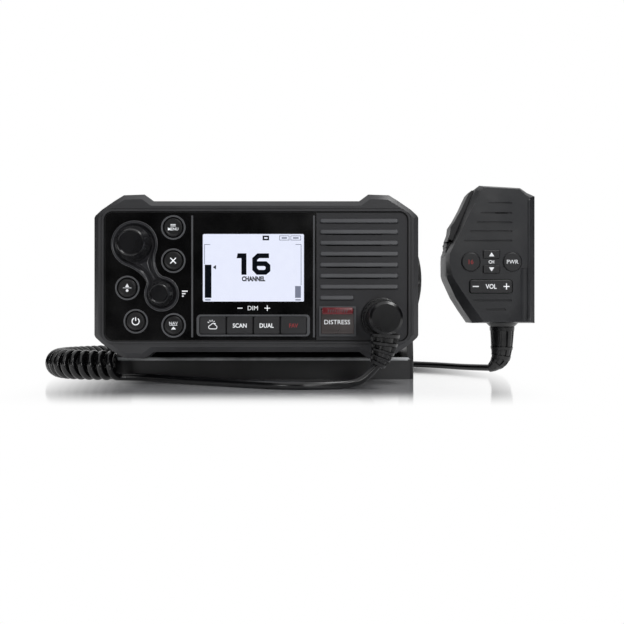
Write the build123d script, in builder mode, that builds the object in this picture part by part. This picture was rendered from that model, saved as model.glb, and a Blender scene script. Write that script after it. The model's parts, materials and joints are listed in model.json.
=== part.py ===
from build123d import *
from math import cos, pi, radians, sin, tan
import os

os.makedirs("parts", exist_ok=True)

# A fixed-mount VHF marine radio on its U bracket, with a fist microphone on a curly cord.
# Millimetres. X runs to the right seen from the front, the front faces -Y, Z is up.
# The origin is the centre of the bracket's four screw holes, on its underside.

# Fits and clearances
fit_gap = 0.1  # round a piece that is pressed or glued in
slide_gap = 0.2  # round a key cap in its hole
run_gap = 0.05  # radial, a shaft in its bearing
stop_gap = 0.2  # between a sprung piece and its stop
thread_gap = 0.05  # radial, a screw in its hole

# Rear case
case_w = 166.0
case_h = 76.0
case_r = 6.0
case_wall = 3.0
case_clear = 23.0  # under the case, above the table
case_back = 40.0  # outer face of the rear wall behind the tilt axis
case_back_wall = 4.0
flange_t = 3.0
flange_inset = 1.0
gasket_t = 1.5
boss_r = 9.0
boss_rise = 6.2  # pivot boss beyond the case's side
boss_len = 13.2
insert_r = 4.4
insert_len = 11.4
fin_count = 15
fin_pitch = 10.0
fin_t = 2.6
fin_d = 6.0
fin_h = 34.0
fin_up = 15.0  # middle of the fins above the axis
lug_screw_r = 1.5
lug_screw_len = 11.0
lug_head_r = 2.6
lug_head_t = 2.0

# Front bezel
bezel_side = 9.0  # beyond the case, each side
bezel_over = 4.8  # flats beyond the case, above and below
bezel_front = 68.0  # face of the bezel ahead of the tilt axis
bezel_d = 20.0
bezel_lip = 1.2
bezel_chamfer = 2.9
lip_groove_in = 1.1  # groove round the opening, from the opening's edge
lip_groove_w = 0.5
lip_groove_d = 0.4
bezel_corner = [  # in from the side, out from the flat
    (33.6, 0.0),
    (28.5, 3.8),
    (16.8, 3.4),
    (11.7, 0.3),
    (4.3, -4.8),
    (0.7, -8.1),
    (0.0, -9.5),
]
frame_side = 5.9  # frame beside the opening
frame_over = 6.0  # frame above and below it
opening_r = 5.0
panel_seat = 2.0  # how far the panel's edge lies behind the lip
lug_screw_in = 22.6  # lug screw from the bezel's side

# Widths and heights that follow from the case
axis_z = case_h / 2 + case_clear  # tilt axis above the table
bezel_w = case_w + 2 * bezel_side
bezel_h = case_h + 2 * bezel_over  # between the flats, without the lugs
lug_rise = bezel_corner[1][1]
opening_w = bezel_w - 2 * frame_side
opening_h = bezel_h - 2 * frame_over
panel_left = -opening_w / 2
panel_right = opening_w / 2
panel_top = opening_h / 2
boss_out = case_w / 2 + boss_rise  # outer face of a pivot boss from the centre

# Bracket
bracket_d = 62.0
arm_d = 56.0
arm_gap = 0.3  # between a pivot boss and its arm
arm_t = 3.9
arm_out = boss_out + arm_gap + arm_t  # outer face of an arm from the centre
bracket_w = 2 * arm_out
arm_top_r = 17.0
base_t = 4.0
base_corner_r = 3.0
base_lip_h = 12.0
base_lip_t = 3.0
mount_hole_r = 2.6
mount_hole_x = 120.0
mount_hole_y = 36.0

# Clamp knobs
stud_r = 3.0
stud_len = 15.4
arm_hole_r = 3.3
washer_r = 13.0
washer_t = 1.0
knob_r = 19.0
knob_t = 7.0
knob_rim_t = 3.8  # at its edge; its outer face is domed
knob_grips = 10
knob_grip_r = 3.4

# Panel, keys and what lies behind them
panel_t = 4.0
split_x = panel_right - 52.1  # where the glossy panel ends and the speaker grille starts
recess_d = 2.0
rim_w = 1.2
rim_h = 0.5
divider_w = 1.0
divider_h = opening_h - 4.7
divider_rise = 0.3
divider_left = panel_left + 49.9
divider_right = split_x - 1.3
bay_w = divider_right - divider_left  # the display's bay between the dividers
bay_x = (divider_left + divider_right) / 2
key_travel = 0.8
key_flange_t = 1.0
key_proud = 0.7
mat_t = 1.6
board_t = 1.6
round_key_r = 5.25
round_flange_r = 6.4
ring_out_r = 6.95
ring_in_r = 6.0
ring_rise = 0.4
round_keys = {
    "key_menu": (panel_left + 39.2, panel_top - 9.1),
    "key_cancel": (panel_left + 39.2, 8.9),
    "key_ais": (panel_left + 13.2, -6.5),
    "key_power": (panel_left + 18.0, -panel_top + 11.4),
    "key_nav": (panel_left + 39.4, -panel_top + 9.1),
}
function_keys = ["key_weather", "key_scan", "key_triple", "key_sound"]
function_x = bay_x + 0.1
function_z = -panel_top + 9.05
function_pitch = (bay_w - 7.9) / 4
function_h = 9.9
function_gap = 0.4
function_lap = 0.85  # flange beyond the cap, above and below
function_rim_w = bay_w - 4.8
function_rim_h = 12.3
function_rim_r = 2.3

# Display
lcd_x = bay_x + 0.15
lcd_z = 4.9
lcd_w = bay_w - 11.5
lcd_h = opening_h - 35.2
lcd_r = 1.0
pane_sink = 0.2
pane_t = 2.0
module_w = lcd_w + 7.6
module_h = lcd_h + 4.6

# Dials: (x, z, recess radius, knob radius, knob height above the panel, dish radius)
channel_dial = (panel_left + 17.2, panel_top - 18.4, 12.0, 9.9, 11.4, 6.3)
volume_dial = (panel_left + 32.6, -9.9, 8.7, 7.1, 9.6, 4.3)
shaft_r = 3.0
bush_r = 4.5
encoder_side = 12.0
push_travel = 0.6
knob_lift = 1.2  # knob above the recess floor

# Speaker grille and speaker
rib_left = split_x + 2.1
rib_right = panel_right - 5.7
rib_short_right = split_x + 21.3
rib_h = 2.3
rib_rise = 1.0
rib_top = panel_top - 5.3
rib_count = 7
rib_to_key = 4.81  # lowest rib above the distress key's frame
slot_h = 0.6
groove_d = 0.6
speaker_x = panel_right - 30.6
speaker_z = 9.5
speaker_r = 23.0
speaker_seat_r = 19.0
speaker_flange_t = 1.2
speaker_d = 18.0
basket_wall = 2.0
magnet_r = 12.0
magnet_t = 5.0
cone_d = 8.0
cone_t = 0.6
cone_cap_r = 5.0
cone_roll = 0.4  # rise of the cone's outer roll

# Distress key under its sprung cover
distress_x = split_x + 12.0
distress_z = -panel_top + 11.45
distress_w = 20.6
distress_h = 17.0
rib_pitch = (rib_top - distress_z - distress_h / 2 - rib_to_key) / rib_count
distress_bar = 0.9
distress_top_bar = 1.3
distress_rise = 2.4
cover_t = 1.6
cover_gap = 0.2
cover_pin_r = 0.6
cover_pin_len = 0.6
cover_lip = 0.8
distress_key_w = 12.0
distress_key_h = 7.6
distress_key_lap = 0.8

# Microphone socket and plug
socket_x = panel_right - 15.4
socket_z = -panel_top + 13.5
socket_flange_r = 11.5
socket_flange_t = 2.2
socket_r = 8.0
socket_bore_r = 6.6
socket_bore_d = 9.0
socket_len = 9.0  # behind the panel's face
plug_nose_r = 6.4
plug_barrel_r = 7.4
plug_ring_r = 10.4
plug_ring_t = 8.4
plug_ring_grips = 24
plug_cap_r = 8.9
plug_cap_chamfer = 1.4
plug_reach = 36.2  # front of the cap ahead of the panel
plug_neck_r = 5.9
plug_neck_back = 10.0  # neck's axis behind the cap's front
plug_boot_top = 31.0  # height where the neck becomes the strain relief
plug_boot_mid = (0.5, 24.0, 5.1)  # left of the socket, height, radius
plug_boot_low = (1.8, 18.0, 4.5)

# Electronics inside the rear case
main_board_w = 136.0
main_board_d = 68.0
main_board_y = -4.0
main_board_z = -20.0
main_post_r = 3.0
main_post_x = 116.0
main_post_y = 48.0
shield_w = 54.0
shield_d = 40.0
shield_h = 13.0
shield_t = 0.6
shield_x = 30.0
ribbon_w = 30.0
ribbon_t = 0.4
ribbon_x = -24.0
ribbon_rise = 6.0

# Rear connectors
connector_z = -14.0
antenna_x = 55.0
antenna_r = 7.94
antenna_len = 14.0
antenna_flange = 24.0
gps_x = 22.0
gps_r = 3.175
gps_len = 8.0
network_x = -12.0
network_r = 6.0
network_len = 9.0
gland_x = -54.0
gland_r = 8.0
gland_len = 10.0
gland_bore_r = 3.1
connector_flange_t = 2.0

# Fist microphone: (right, up) from the bottom right corner of its outline, seen from the front
mic_apart = 86.4  # right side of the microphone from the bezel's right side
mic_x = bezel_w / 2 + mic_apart
mic_y = 28.0  # the plane where its two shells meet
mic_z = 33.4
mic_front_d = 18.0
mic_rear_d = 17.0
mic_shell = [
    (0.0, 0.0),
    (0.0, 83.5),
    (-5.1, 85.8),
    (-9.6, 89.0),
    (-36.5, 90.6),
    (-39.0, 88.7),
    (-53.8, 53.5),
    (-56.1, 50.1),
    (-58.3, 45.2),
    (-58.5, 40.9),
    (-58.4, 31.6),
    (-57.5, 28.5),
    (-52.2, 16.9),
    (-46.9, 8.5),
    (-41.0, 0.0),
]
mic_face = [
    (-4.6, 0.8),
    (-4.6, 82.0),
    (-7.9, 84.1),
    (-11.4, 87.5),
    (-34.8, 88.9),
    (-36.6, 86.4),
    (-52.0, 55.0),
    (-55.0, 49.4),
    (-56.8, 45.3),
    (-57.0, 40.9),
    (-55.4, 31.8),
    (-54.0, 28.9),
    (-47.9, 19.4),
    (-41.6, 10.4),
    (-34.7, 0.8),
]
mic_bevel_d = 6.0
mic_hollow = [
    (-6.2, 3.0),
    (-6.2, 79.5),
    (-11.5, 84.6),
    (-31.2, 85.2),
    (-46.1, 50.0),
    (-52.4, 46.0),
    (-53.9, 40.9),
    (-52.3, 31.5),
    (-32.0, 3.0),
]
mic_floor = 3.0  # thickness under the hollow
mic_face_wall = 2.0
mic_back_chamfer = 4.0
mic_key_r = 6.2
mic_key_lap = 0.7
mic_key_travel = 0.7
mic_key_proud = 0.8
mic_row = 40.0
mic_16_u = -43.1
mic_level_u = -16.0
mic_channel_u = -29.7
mic_channel_w = 11.1
mic_channel_h = 5.3
mic_channel_step = 4.9
rocker_u = -30.0
rocker_v = 23.95
rocker_w = 28.0
rocker_h = 8.6
rocker_gap = 0.35
rocker_pin_r = 0.8
rocker_pin_y = 13.0
rocker_lug_w = 3.6
rocker_lug_t = 1.6
mic_groove_h = 1.3
mic_groove_d = 0.8
mic_grooves = [  # height, left end, right end
    (78.4, -31.9, -16.2),
    (71.9, -37.1, -16.2),
    (65.7, -39.1, -16.0),
    (59.9, -43.6, -16.0),
    (53.7, -47.6, -16.0),
    (14.8, -41.7, -16.2),
    (8.9, -33.2, -20.1),
]
mic_scoop_u = -8.1  # a shallow upright scoop beside the face's right edge
mic_scoop_r = 6.0
mic_scoop_d = 0.6
mic_scoop_h = 36.0
mic_sound_u = -23.0
mic_sound_w = 8.0
mic_capsule_r = 4.8
mic_board_t = 1.6
mic_board_posts = [(-10.6, 60.0), (-41.0, 56.0), (-10.6, 22.0), (-27.0, 13.0)]
mic_board_post_r = 1.5
mic_screw_spots = [(-10.2, 8.0), (-10.2, 77.0), (-33.0, 10.0), (-29.0, 80.0)]
mic_screw_r = 1.25
mic_screw_len = 9.0  # into the front shell
mic_screw_head_r = 2.4
mic_screw_head_t = 1.8
mic_post_r = 3.2
mic_post_gap = 0.6  # between a screw post and the board
ptt_half_d = 8.7
ptt_gap = 0.3
ptt_slot = 7.0  # depth of the lever's slot
ptt_slot_top = 0.9  # ends of the slot along the slanted side
ptt_slot_end = 37.5
ptt_pivot = (6.0, 3.0)
ptt_pin_r = 1.5
ptt_pin_len = 1.3
ptt_profile = [  # along the slanted side, inward from its surface
    (1.4, 3.4),
    (1.3, -1.4),
    (4.1, -2.4),
    (8.7, -2.7),
    (15.3, -2.9),
    (23.6, -3.75),
    (29.2, -4.8),
    (33.5, -3.6),
    (38.9, -3.4),
    (38.7, -2.8),
    (37.0, -2.8),
    (37.0, 3.9),
    (3.5, 6.6),
]
stud_neck_r = 4.0
stud_neck_len = 4.0
stud_disc_r = 8.0
stud_disc_t = 3.0
stud_u = -28.5
stud_v = 56.0
mic_boot_u = -18.9
mic_boot_neck_r = 6.0
mic_collar_r = 10.6
mic_collar_h = 2.4
mic_boot_r = 7.5

# Cord
cord_r = 2.2
curl_r = 9.0
curl_start_x = -bezel_w / 2 + 9.0
curl_start_y = -41.32
table_gap = 0.05
plug_boot_end = (socket_x - 4.2, -93.0, 12.5)
plug_boot_end_r = 3.2
mic_boot_end = (mic_x - 26.0, 31.0, 2.95)
mic_boot_end_r = 2.85

# Planes along the front's depth, worked out from the sizes above
y_front = -bezel_front
y_bezel_back = y_front + bezel_d
y_panel = y_front + bezel_lip
y_recess = y_panel + recess_d
y_panel_back = y_panel + panel_t
y_key_flange = y_panel_back + stop_gap
y_mat = y_key_flange + key_flange_t + key_travel + stop_gap
y_board = y_mat + mat_t
y_rim = y_panel_back + gasket_t
pocket_w = opening_w + 2 * panel_seat
pocket_h = opening_h + 2 * panel_seat
pocket_r = opening_r + panel_seat
socket_world_z = axis_z + socket_z
lug_screw_x = bezel_w / 2 - lug_screw_in
lug_screw_z = (bezel_h / 2 + lug_rise + pocket_h / 2) / 2
lug_screws = [(sx * lug_screw_x, sz * lug_screw_z) for sx in (-1, 1) for sz in (-1, 1)]
post_spots = [
    (panel_left + 10.1, panel_top - 5.8),
    (panel_left + 10.1, -panel_top + 4.8),
    (-12.0, panel_top - 5.8),
    (split_x - 8.0, panel_top - 5.8),
]
post_r = 2.0


def front(y):
    """Plane that faces forward at depth y; its origin is on the line of the tilt axis."""
    return Plane(origin=(0, y, axis_z), x_dir=(1, 0, 0), z_dir=(0, -1, 0))


def axial(x, z, y):
    """Plane for a profile turned about a line along Y: local x is the radius, local y goes forward."""
    return Plane(origin=(x, y, axis_z + z), x_dir=(1, 0, 0), z_dir=(0, 0, -1))


def forward_axis(x, z):
    return Axis((x, 0, axis_z + z), (0, 1, 0))


def finish(builder, name):
    """Label a finished sub-part and write its STEP file."""
    builder.part.label = name
    export_step(builder.part, f"parts/{name}.step")


def bezel_outline(y, inset=0.0):
    """The bezel's outline: straight flats and sides, with a raised lug beside each bevelled corner."""
    half_w = bezel_w / 2
    half_h = bezel_h / 2
    corner = [(half_w - inside, half_h + out) for inside, out in bezel_corner]
    lower = [(x, -z) for x, z in reversed(corner)]
    right = corner + lower
    left = [(-x, z) for x, z in reversed(right)]
    with BuildSketch(front(y)) as outline:
        with BuildLine():
            Polyline(*right, *left, close=True)
        make_face()
        if inset:
            offset(amount=-inset, kind=Kind.INTERSECTION)
    return outline.sketch


def dial_outline(y, grow=0.0):
    """Two circles joined by a waist whose sides leave each circle along its tangent."""
    big_x, big_z, big_r = channel_dial[:3]
    small_x, small_z, small_r = volume_dial[:3]
    big_r += grow
    small_r += grow
    turns = {"big_low": 250, "small_left": 155, "small_top": 80, "big_right": -20}

    def on(x, z, r, turn):
        return (x + r * cos(radians(turn)), z + r * sin(radians(turn)))

    def along(turn):
        return (-sin(radians(turn)), cos(radians(turn)))

    low = on(big_x, big_z, big_r, turns["big_low"])
    left = on(small_x, small_z, small_r, turns["small_left"])
    top = on(small_x, small_z, small_r, turns["small_top"])
    right = on(big_x, big_z, big_r, turns["big_right"])
    with BuildSketch(front(y)) as outline:
        with BuildLine():
            Spline(low, left, tangents=(along(turns["big_low"]), along(turns["small_left"])))
            small_sweep = 360 + turns["small_top"] - turns["small_left"]
            CenterArc((small_x, small_z), small_r, turns["small_left"], small_sweep)
            Spline(top, right, tangents=(along(turns["small_top"]), along(turns["big_right"])))
            CenterArc((big_x, big_z), big_r, turns["big_right"], turns["big_low"] - turns["big_right"])
        make_face()
    return outline.sketch


# ---- Bracket -------------------------------------------------------------------------------

with BuildPart() as bracket:
    with BuildSketch(Plane.XY):
        RectangleRounded(bracket_w, bracket_d, base_corner_r)
    extrude(amount=base_t)
    with BuildSketch(Plane.XY.offset(base_t)):
        RectangleRounded(bracket_w, bracket_d, base_corner_r)
        Rectangle(bracket_w, bracket_d - 2 * base_lip_t, mode=Mode.SUBTRACT)
    extrude(amount=base_lip_h - base_t)
    for side in (-1, 1):
        with BuildSketch(Plane.YZ.offset(side * arm_out)):
            with BuildLine():
                Polyline(
                    (-arm_d / 2, 0),
                    (arm_d / 2, 0),
                    (arm_d / 2, base_lip_h + 4),
                    (arm_top_r, axis_z),
                    (-arm_top_r, axis_z),
                    (-arm_d / 2, base_lip_h + 4),
                    close=True,
                )
            make_face()
            with Locations((0, axis_z)):
                Circle(arm_top_r)
        extrude(amount=-side * arm_t)
        with BuildSketch(Plane.YZ.offset(side * arm_out)):
            with Locations((0, axis_z)):
                Circle(arm_hole_r)
        extrude(amount=-side * arm_t, mode=Mode.SUBTRACT)
    with BuildSketch(Plane.XY):
        with GridLocations(mount_hole_x, mount_hole_y, 2, 2):
            Circle(mount_hole_r)
    extrude(amount=base_t, mode=Mode.SUBTRACT)
finish(bracket, "bracket")

# ---- Clamp knobs and washers -----------------------------------------------------------------

knob_dome_h = knob_t - knob_rim_t
knob_dome_r = (knob_r**2 + knob_dome_h**2) / (2 * knob_dome_h)

for side, name in ((-1, "left"), (1, "right")):
    washer_face = side * (arm_out + washer_t)
    with BuildPart() as clamp_washer:
        with BuildSketch(Plane.YZ.offset(side * arm_out)):
            with Locations((0, axis_z)):
                Circle(washer_r)
                Circle(arm_hole_r, mode=Mode.SUBTRACT)
        extrude(amount=side * washer_t)
    finish(clamp_washer, f"{name}_clamp_washer")

    with BuildPart() as clamp_knob:
        with BuildSketch(Plane.YZ.offset(washer_face)):
            with Locations((0, axis_z)):
                Circle(knob_r)
                with PolarLocations(knob_r + 1.6, knob_grips):
                    Circle(knob_grip_r, mode=Mode.SUBTRACT)
        extrude(amount=side * knob_t)
        with BuildSketch(Plane(origin=(washer_face, 0, axis_z), x_dir=(side, 0, 0), z_dir=(0, -1, 0))):
            with BuildLine():
                rim = Polyline((knob_t, 0), (0, 0), (0, knob_r), (knob_rim_t, knob_r))
                RadiusArc(rim @ 1, rim @ 0, knob_dome_r)
            make_face()
        revolve(axis=Axis((0, 0, axis_z), (1, 0, 0)), mode=Mode.INTERSECT)
        with BuildSketch(Plane.YZ.offset(washer_face)):
            with Locations((0, axis_z)):
                Circle(stud_r)
        extrude(amount=-side * stud_len)
    finish(clamp_knob, f"{name}_clamp_knob")

# ---- Front bezel -----------------------------------------------------------------------------

with BuildPart() as front_bezel:
    extrude(bezel_outline(y_front), amount=-bezel_d)
    chamfer(front_bezel.faces().sort_by(Axis.Y)[0].edges(), bezel_chamfer)
    with BuildSketch(front(y_front)):
        RectangleRounded(opening_w, opening_h, opening_r)
    extrude(amount=-bezel_d, mode=Mode.SUBTRACT)
    with BuildSketch(front(y_front)):
        lip = RectangleRounded(opening_w, opening_h, opening_r)
        offset(lip, amount=lip_groove_in + lip_groove_w, mode=Mode.ADD)
        offset(lip, amount=lip_groove_in, mode=Mode.SUBTRACT)
    extrude(amount=-lip_groove_d, mode=Mode.SUBTRACT)
    with BuildSketch(front(y_panel)):
        RectangleRounded(pocket_w, pocket_h, pocket_r)
    extrude(amount=y_panel - y_bezel_back, mode=Mode.SUBTRACT)
    with BuildSketch(front(y_bezel_back)):
        with Locations(*lug_screws):
            Circle(lug_screw_r + thread_gap)
    extrude(amount=lug_screw_len, mode=Mode.SUBTRACT)
finish(front_bezel, "front_bezel")

# ---- Rear case, gasket, pivot inserts and screws ---------------------------------------------

inner_floor = axis_z - case_h / 2 + case_wall
main_board_bottom = axis_z + main_board_z
with BuildPart() as rear_case:
    with BuildSketch(front(y_rim)):
        RectangleRounded(case_w, case_h, case_r)
    extrude(amount=y_rim - case_back)
    extrude(bezel_outline(y_bezel_back, flange_inset), amount=-flange_t)
    for side in (-1, 1):
        with BuildSketch(Plane.YZ.offset(side * boss_out)):
            with Locations((0, axis_z)):
                Circle(boss_r)
        extrude(amount=-side * (boss_out - case_w / 2 + case_wall / 2))
    with BuildSketch(front(y_rim)):
        RectangleRounded(case_w - 2 * case_wall, case_h - 2 * case_wall, case_r - case_wall)
    extrude(amount=y_rim - case_back + case_back_wall, mode=Mode.SUBTRACT)
    for side in (-1, 1):
        with BuildSketch(Plane.YZ.offset(side * (boss_out - boss_len))):
            with Locations((0, axis_z)):
                Circle(boss_r)
        extrude(amount=side * (boss_len - boss_out + case_w / 2))
        with BuildSketch(Plane.YZ.offset(side * boss_out)):
            with Locations((0, axis_z)):
                Circle(insert_r + fit_gap)
        extrude(amount=-side * insert_len, mode=Mode.SUBTRACT)
    with BuildSketch(Plane.XY.offset(inner_floor)):
        with Locations((0, main_board_y)):
            with GridLocations(main_post_x, main_post_y, 2, 2):
                Circle(main_post_r)
    extrude(amount=main_board_bottom - inner_floor)
    with BuildSketch(front(case_back)):
        with Locations((0, fin_up)):
            with GridLocations(fin_pitch, fin_pitch, fin_count, 1):
                Rectangle(fin_t, fin_h)
    extrude(amount=-fin_d)
    with BuildSketch(front(case_back)):
        with Locations((antenna_x, connector_z)):
            Circle(antenna_r + fit_gap)
        with Locations((gps_x, connector_z)):
            Circle(gps_r + fit_gap)
        with Locations((network_x, connector_z)):
            Circle(network_r + fit_gap)
        with Locations((gland_x, connector_z)):
            Circle(gland_r - 2 + fit_gap)
    extrude(amount=case_back_wall, mode=Mode.SUBTRACT)
    with BuildSketch(front(y_bezel_back)):
        with Locations(*lug_screws):
            Circle(lug_screw_r + fit_gap)
    extrude(amount=-flange_t, mode=Mode.SUBTRACT)
finish(rear_case, "rear_case")

with BuildPart() as case_gasket:
    with BuildSketch(front(y_panel_back)):
        RectangleRounded(case_w, case_h, case_r)
        RectangleRounded(
            case_w - 2 * case_wall, case_h - 2 * case_wall, case_r - case_wall, mode=Mode.SUBTRACT
        )
    extrude(amount=-gasket_t)
finish(case_gasket, "case_gasket")

with BuildPart() as pivot_inserts:
    for side in (-1, 1):
        with BuildSketch(Plane.YZ.offset(side * boss_out)):
            with Locations((0, axis_z)):
                Circle(insert_r)
                Circle(stud_r + run_gap, mode=Mode.SUBTRACT)
        extrude(amount=-side * insert_len)
finish(pivot_inserts, "pivot_inserts")

with BuildPart() as case_screws:
    with BuildSketch(front(y_bezel_back + flange_t)):
        with Locations(*lug_screws):
            Circle(lug_head_r)
    extrude(amount=-lug_head_t)
    with BuildSketch(front(y_bezel_back + flange_t)):
        with Locations(*lug_screws):
            Circle(lug_screw_r)
    extrude(amount=flange_t + lug_screw_len - 1)
finish(case_screws, "case_screws")

# ---- Glossy front panel ----------------------------------------------------------------------

panel_w = pocket_w - 2 * fit_gap
panel_h = pocket_h - 2 * fit_gap
panel_r = pocket_r - fit_gap
left_w = split_x + panel_w / 2
right_w = panel_w / 2 - split_x - fit_gap
key_hole_r = round_key_r + slide_gap
function_w = function_pitch * len(function_keys)
function_hole_w = function_w + 2 * slide_gap - function_gap
function_hole_h = function_h + 2 * slide_gap
dials = [channel_dial, volume_dial]
dial_spots = [dial[:2] for dial in dials]

with BuildPart() as front_panel:
    with BuildSketch(front(y_panel)):
        RectangleRounded(panel_w, panel_h, panel_r)
        with Locations((split_x - left_w / 2, 0)):
            Rectangle(left_w, panel_h, mode=Mode.INTERSECT)
    extrude(amount=-panel_t)
    extrude(dial_outline(y_panel, rim_w), amount=rim_h)
    extrude(dial_outline(y_panel - rim_h), amount=-rim_h - recess_d, mode=Mode.SUBTRACT)
    with BuildSketch(front(y_panel)):
        with Locations(*round_keys.values()):
            Circle(ring_out_r)
            Circle(ring_in_r, mode=Mode.SUBTRACT)
    extrude(amount=ring_rise)
    with BuildSketch(front(y_panel)):
        with Locations((function_x, function_z)):
            RectangleRounded(function_rim_w, function_rim_h, function_rim_r)
    extrude(amount=rim_h)
    with BuildSketch(front(y_panel)):
        for divider_x in (divider_left, divider_right):
            with Locations((divider_x, 0)):
                Rectangle(divider_w, divider_h)
    extrude(amount=divider_rise)
    with BuildSketch(front(y_panel - rim_h)):
        with Locations(*round_keys.values()):
            Circle(key_hole_r)
        with Locations((function_x, function_z)):
            RectangleRounded(function_hole_w, function_hole_h, 1.2)
        with Locations((lcd_x, lcd_z)):
            RectangleRounded(lcd_w, lcd_h, lcd_r)
        with Locations(*dial_spots):
            Circle(bush_r + fit_gap)
    extrude(amount=-rim_h - panel_t, mode=Mode.SUBTRACT)
    with BuildSketch(front(y_panel_back)):
        with Locations(*post_spots):
            Circle(post_r)
    extrude(amount=y_panel_back - y_board)
finish(front_panel, "front_panel")

# ---- Speaker grille, with the socket hole and the distress key's frame -----------------------

distress_top = distress_z + distress_h / 2 - distress_top_bar
distress_bottom = distress_z - distress_h / 2 + distress_top_bar
distress_in_w = distress_w - 2 * distress_bar
cover_barrel_r = distress_rise / 2 - cover_gap / 2
cover_axis_y = y_panel - distress_rise / 2 - cover_gap / 2
cover_axis_z = distress_top - cover_gap - cover_barrel_r
rib_w = rib_right - rib_left
rib_x = (rib_left + rib_right) / 2
rib_mid = rib_top - rib_pitch * (rib_count - 1) / 2
short_w = rib_short_right - rib_left
under_rib = (rib_h + slot_h) / 2

with BuildPart() as speaker_grille:
    with BuildSketch(front(y_panel)):
        RectangleRounded(panel_w, panel_h, panel_r)
        with Locations((split_x + fit_gap + right_w / 2, 0)):
            Rectangle(right_w, panel_h, mode=Mode.INTERSECT)
    extrude(amount=-panel_t)
    with BuildSketch(front(y_panel)):
        with Locations((rib_x, rib_mid)):
            with GridLocations(rib_pitch, rib_pitch, 1, rib_count):
                RectangleRounded(rib_w, rib_h, rib_h / 2 - 0.1)
        with Locations((rib_left + short_w / 2, rib_top - rib_pitch * rib_count)):
            RectangleRounded(short_w, rib_h, rib_h / 2 - 0.1)
    extrude(amount=rib_rise)
    with BuildSketch(front(y_panel)):
        with Locations((rib_x, rib_mid - under_rib)):
            with GridLocations(rib_pitch, rib_pitch, 1, rib_count):
                SlotOverall(rib_w, slot_h)
        with Locations((rib_left + short_w / 2, rib_top - rib_pitch * rib_count - under_rib)):
            SlotOverall(short_w, slot_h)
    extrude(amount=-groove_d, mode=Mode.SUBTRACT)
    with BuildSketch(front(y_panel)):
        with Locations((speaker_x, rib_mid - under_rib)):
            with GridLocations(rib_pitch, rib_pitch, 1, rib_count - 2):
                SlotOverall(2 * speaker_seat_r - 6, slot_h)
    extrude(amount=-panel_t, mode=Mode.SUBTRACT)
    with BuildSketch(front(y_panel)):
        with Locations((distress_x, distress_z)):
            Rectangle(distress_w, distress_h)
            Rectangle(distress_in_w, distress_h - 2 * distress_top_bar, mode=Mode.SUBTRACT)
    extrude(amount=distress_rise)
    with BuildSketch(Plane.YZ.offset(distress_x - distress_in_w / 2 - cover_pin_len - 0.1)):
        with Locations((cover_axis_y, axis_z + cover_axis_z)):
            Circle(cover_pin_r + run_gap)
    extrude(amount=distress_in_w + 2 * cover_pin_len + 0.2, mode=Mode.SUBTRACT)
    with BuildSketch(front(y_panel)):
        with Locations((distress_x, distress_z)):
            Rectangle(distress_key_w + 2 * slide_gap, distress_key_h + 2 * slide_gap)
        with Locations((socket_x, socket_z)):
            Circle(socket_r + fit_gap)
    extrude(amount=-panel_t, mode=Mode.SUBTRACT)
finish(speaker_grille, "speaker_grille")

# ---- Display ---------------------------------------------------------------------------------

y_pane = y_panel + pane_sink
y_pane_back = y_pane + pane_t
with BuildPart() as lcd_window:
    with BuildSketch(front(y_pane)):
        with Locations((lcd_x, lcd_z)):
            RectangleRounded(lcd_w - 2 * fit_gap, lcd_h - 2 * fit_gap, lcd_r)
    extrude(amount=-pane_t)
finish(lcd_window, "lcd_window")

with BuildPart() as lcd_module:
    with BuildSketch(front(y_pane_back)):
        with Locations((lcd_x, lcd_z)):
            RectangleRounded(lcd_w - 4 * fit_gap, lcd_h - 4 * fit_gap, lcd_r)
    extrude(amount=y_pane_back - y_board)
    with BuildSketch(front(y_panel_back + fit_gap)):
        with Locations((lcd_x, lcd_z)):
            Rectangle(module_w, module_h)
    extrude(amount=y_panel_back + fit_gap - y_board)
finish(lcd_module, "lcd_module")

# ---- Keypad mat and front board --------------------------------------------------------------

board_left = -case_w / 2 + case_wall + 0.6
board_half_h = case_h / 2 - case_wall - 0.6
strip_top = distress_z + distress_key_h / 2 + 3.5
strip_right = socket_x - socket_r - 3.5
function_top = function_z + function_h / 2 + 2.0
mat_right = divider_left
board_right = split_x - 3

with BuildPart() as keypad_mat:
    with BuildSketch(front(y_mat)):
        with Locations(((board_left + mat_right) / 2, 0)):
            RectangleRounded(mat_right - board_left, 2 * board_half_h, case_r - case_wall)
        with Locations(((lcd_x + strip_right) / 2, (strip_top - board_half_h) / 2)):
            Rectangle(strip_right - lcd_x, strip_top + board_half_h)
        with Locations(((mat_right + split_x) / 2, (function_top - board_half_h) / 2)):
            Rectangle(split_x - mat_right + 8, function_top + board_half_h)
        with Locations((lcd_x, lcd_z)):
            Rectangle(module_w + 1, module_h + 1, mode=Mode.SUBTRACT)
        with Locations(*post_spots[:2]):
            Circle(post_r + fit_gap, mode=Mode.SUBTRACT)
        with Locations(*dial_spots):
            Rectangle(encoder_side + 1, encoder_side + 1, mode=Mode.SUBTRACT)
    extrude(amount=-mat_t)
finish(keypad_mat, "keypad_mat")

with BuildPart() as front_board:
    with BuildSketch(front(y_board)):
        with Locations(((board_left + board_right) / 2, 0)):
            RectangleRounded(board_right - board_left, 2 * board_half_h, case_r - case_wall)
        with Locations(((lcd_x + strip_right) / 2, (strip_top - board_half_h) / 2)):
            Rectangle(strip_right - lcd_x, strip_top + board_half_h)
    extrude(amount=-board_t)
finish(front_board, "front_board")

# ---- Encoders, shafts and knobs --------------------------------------------------------------

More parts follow.
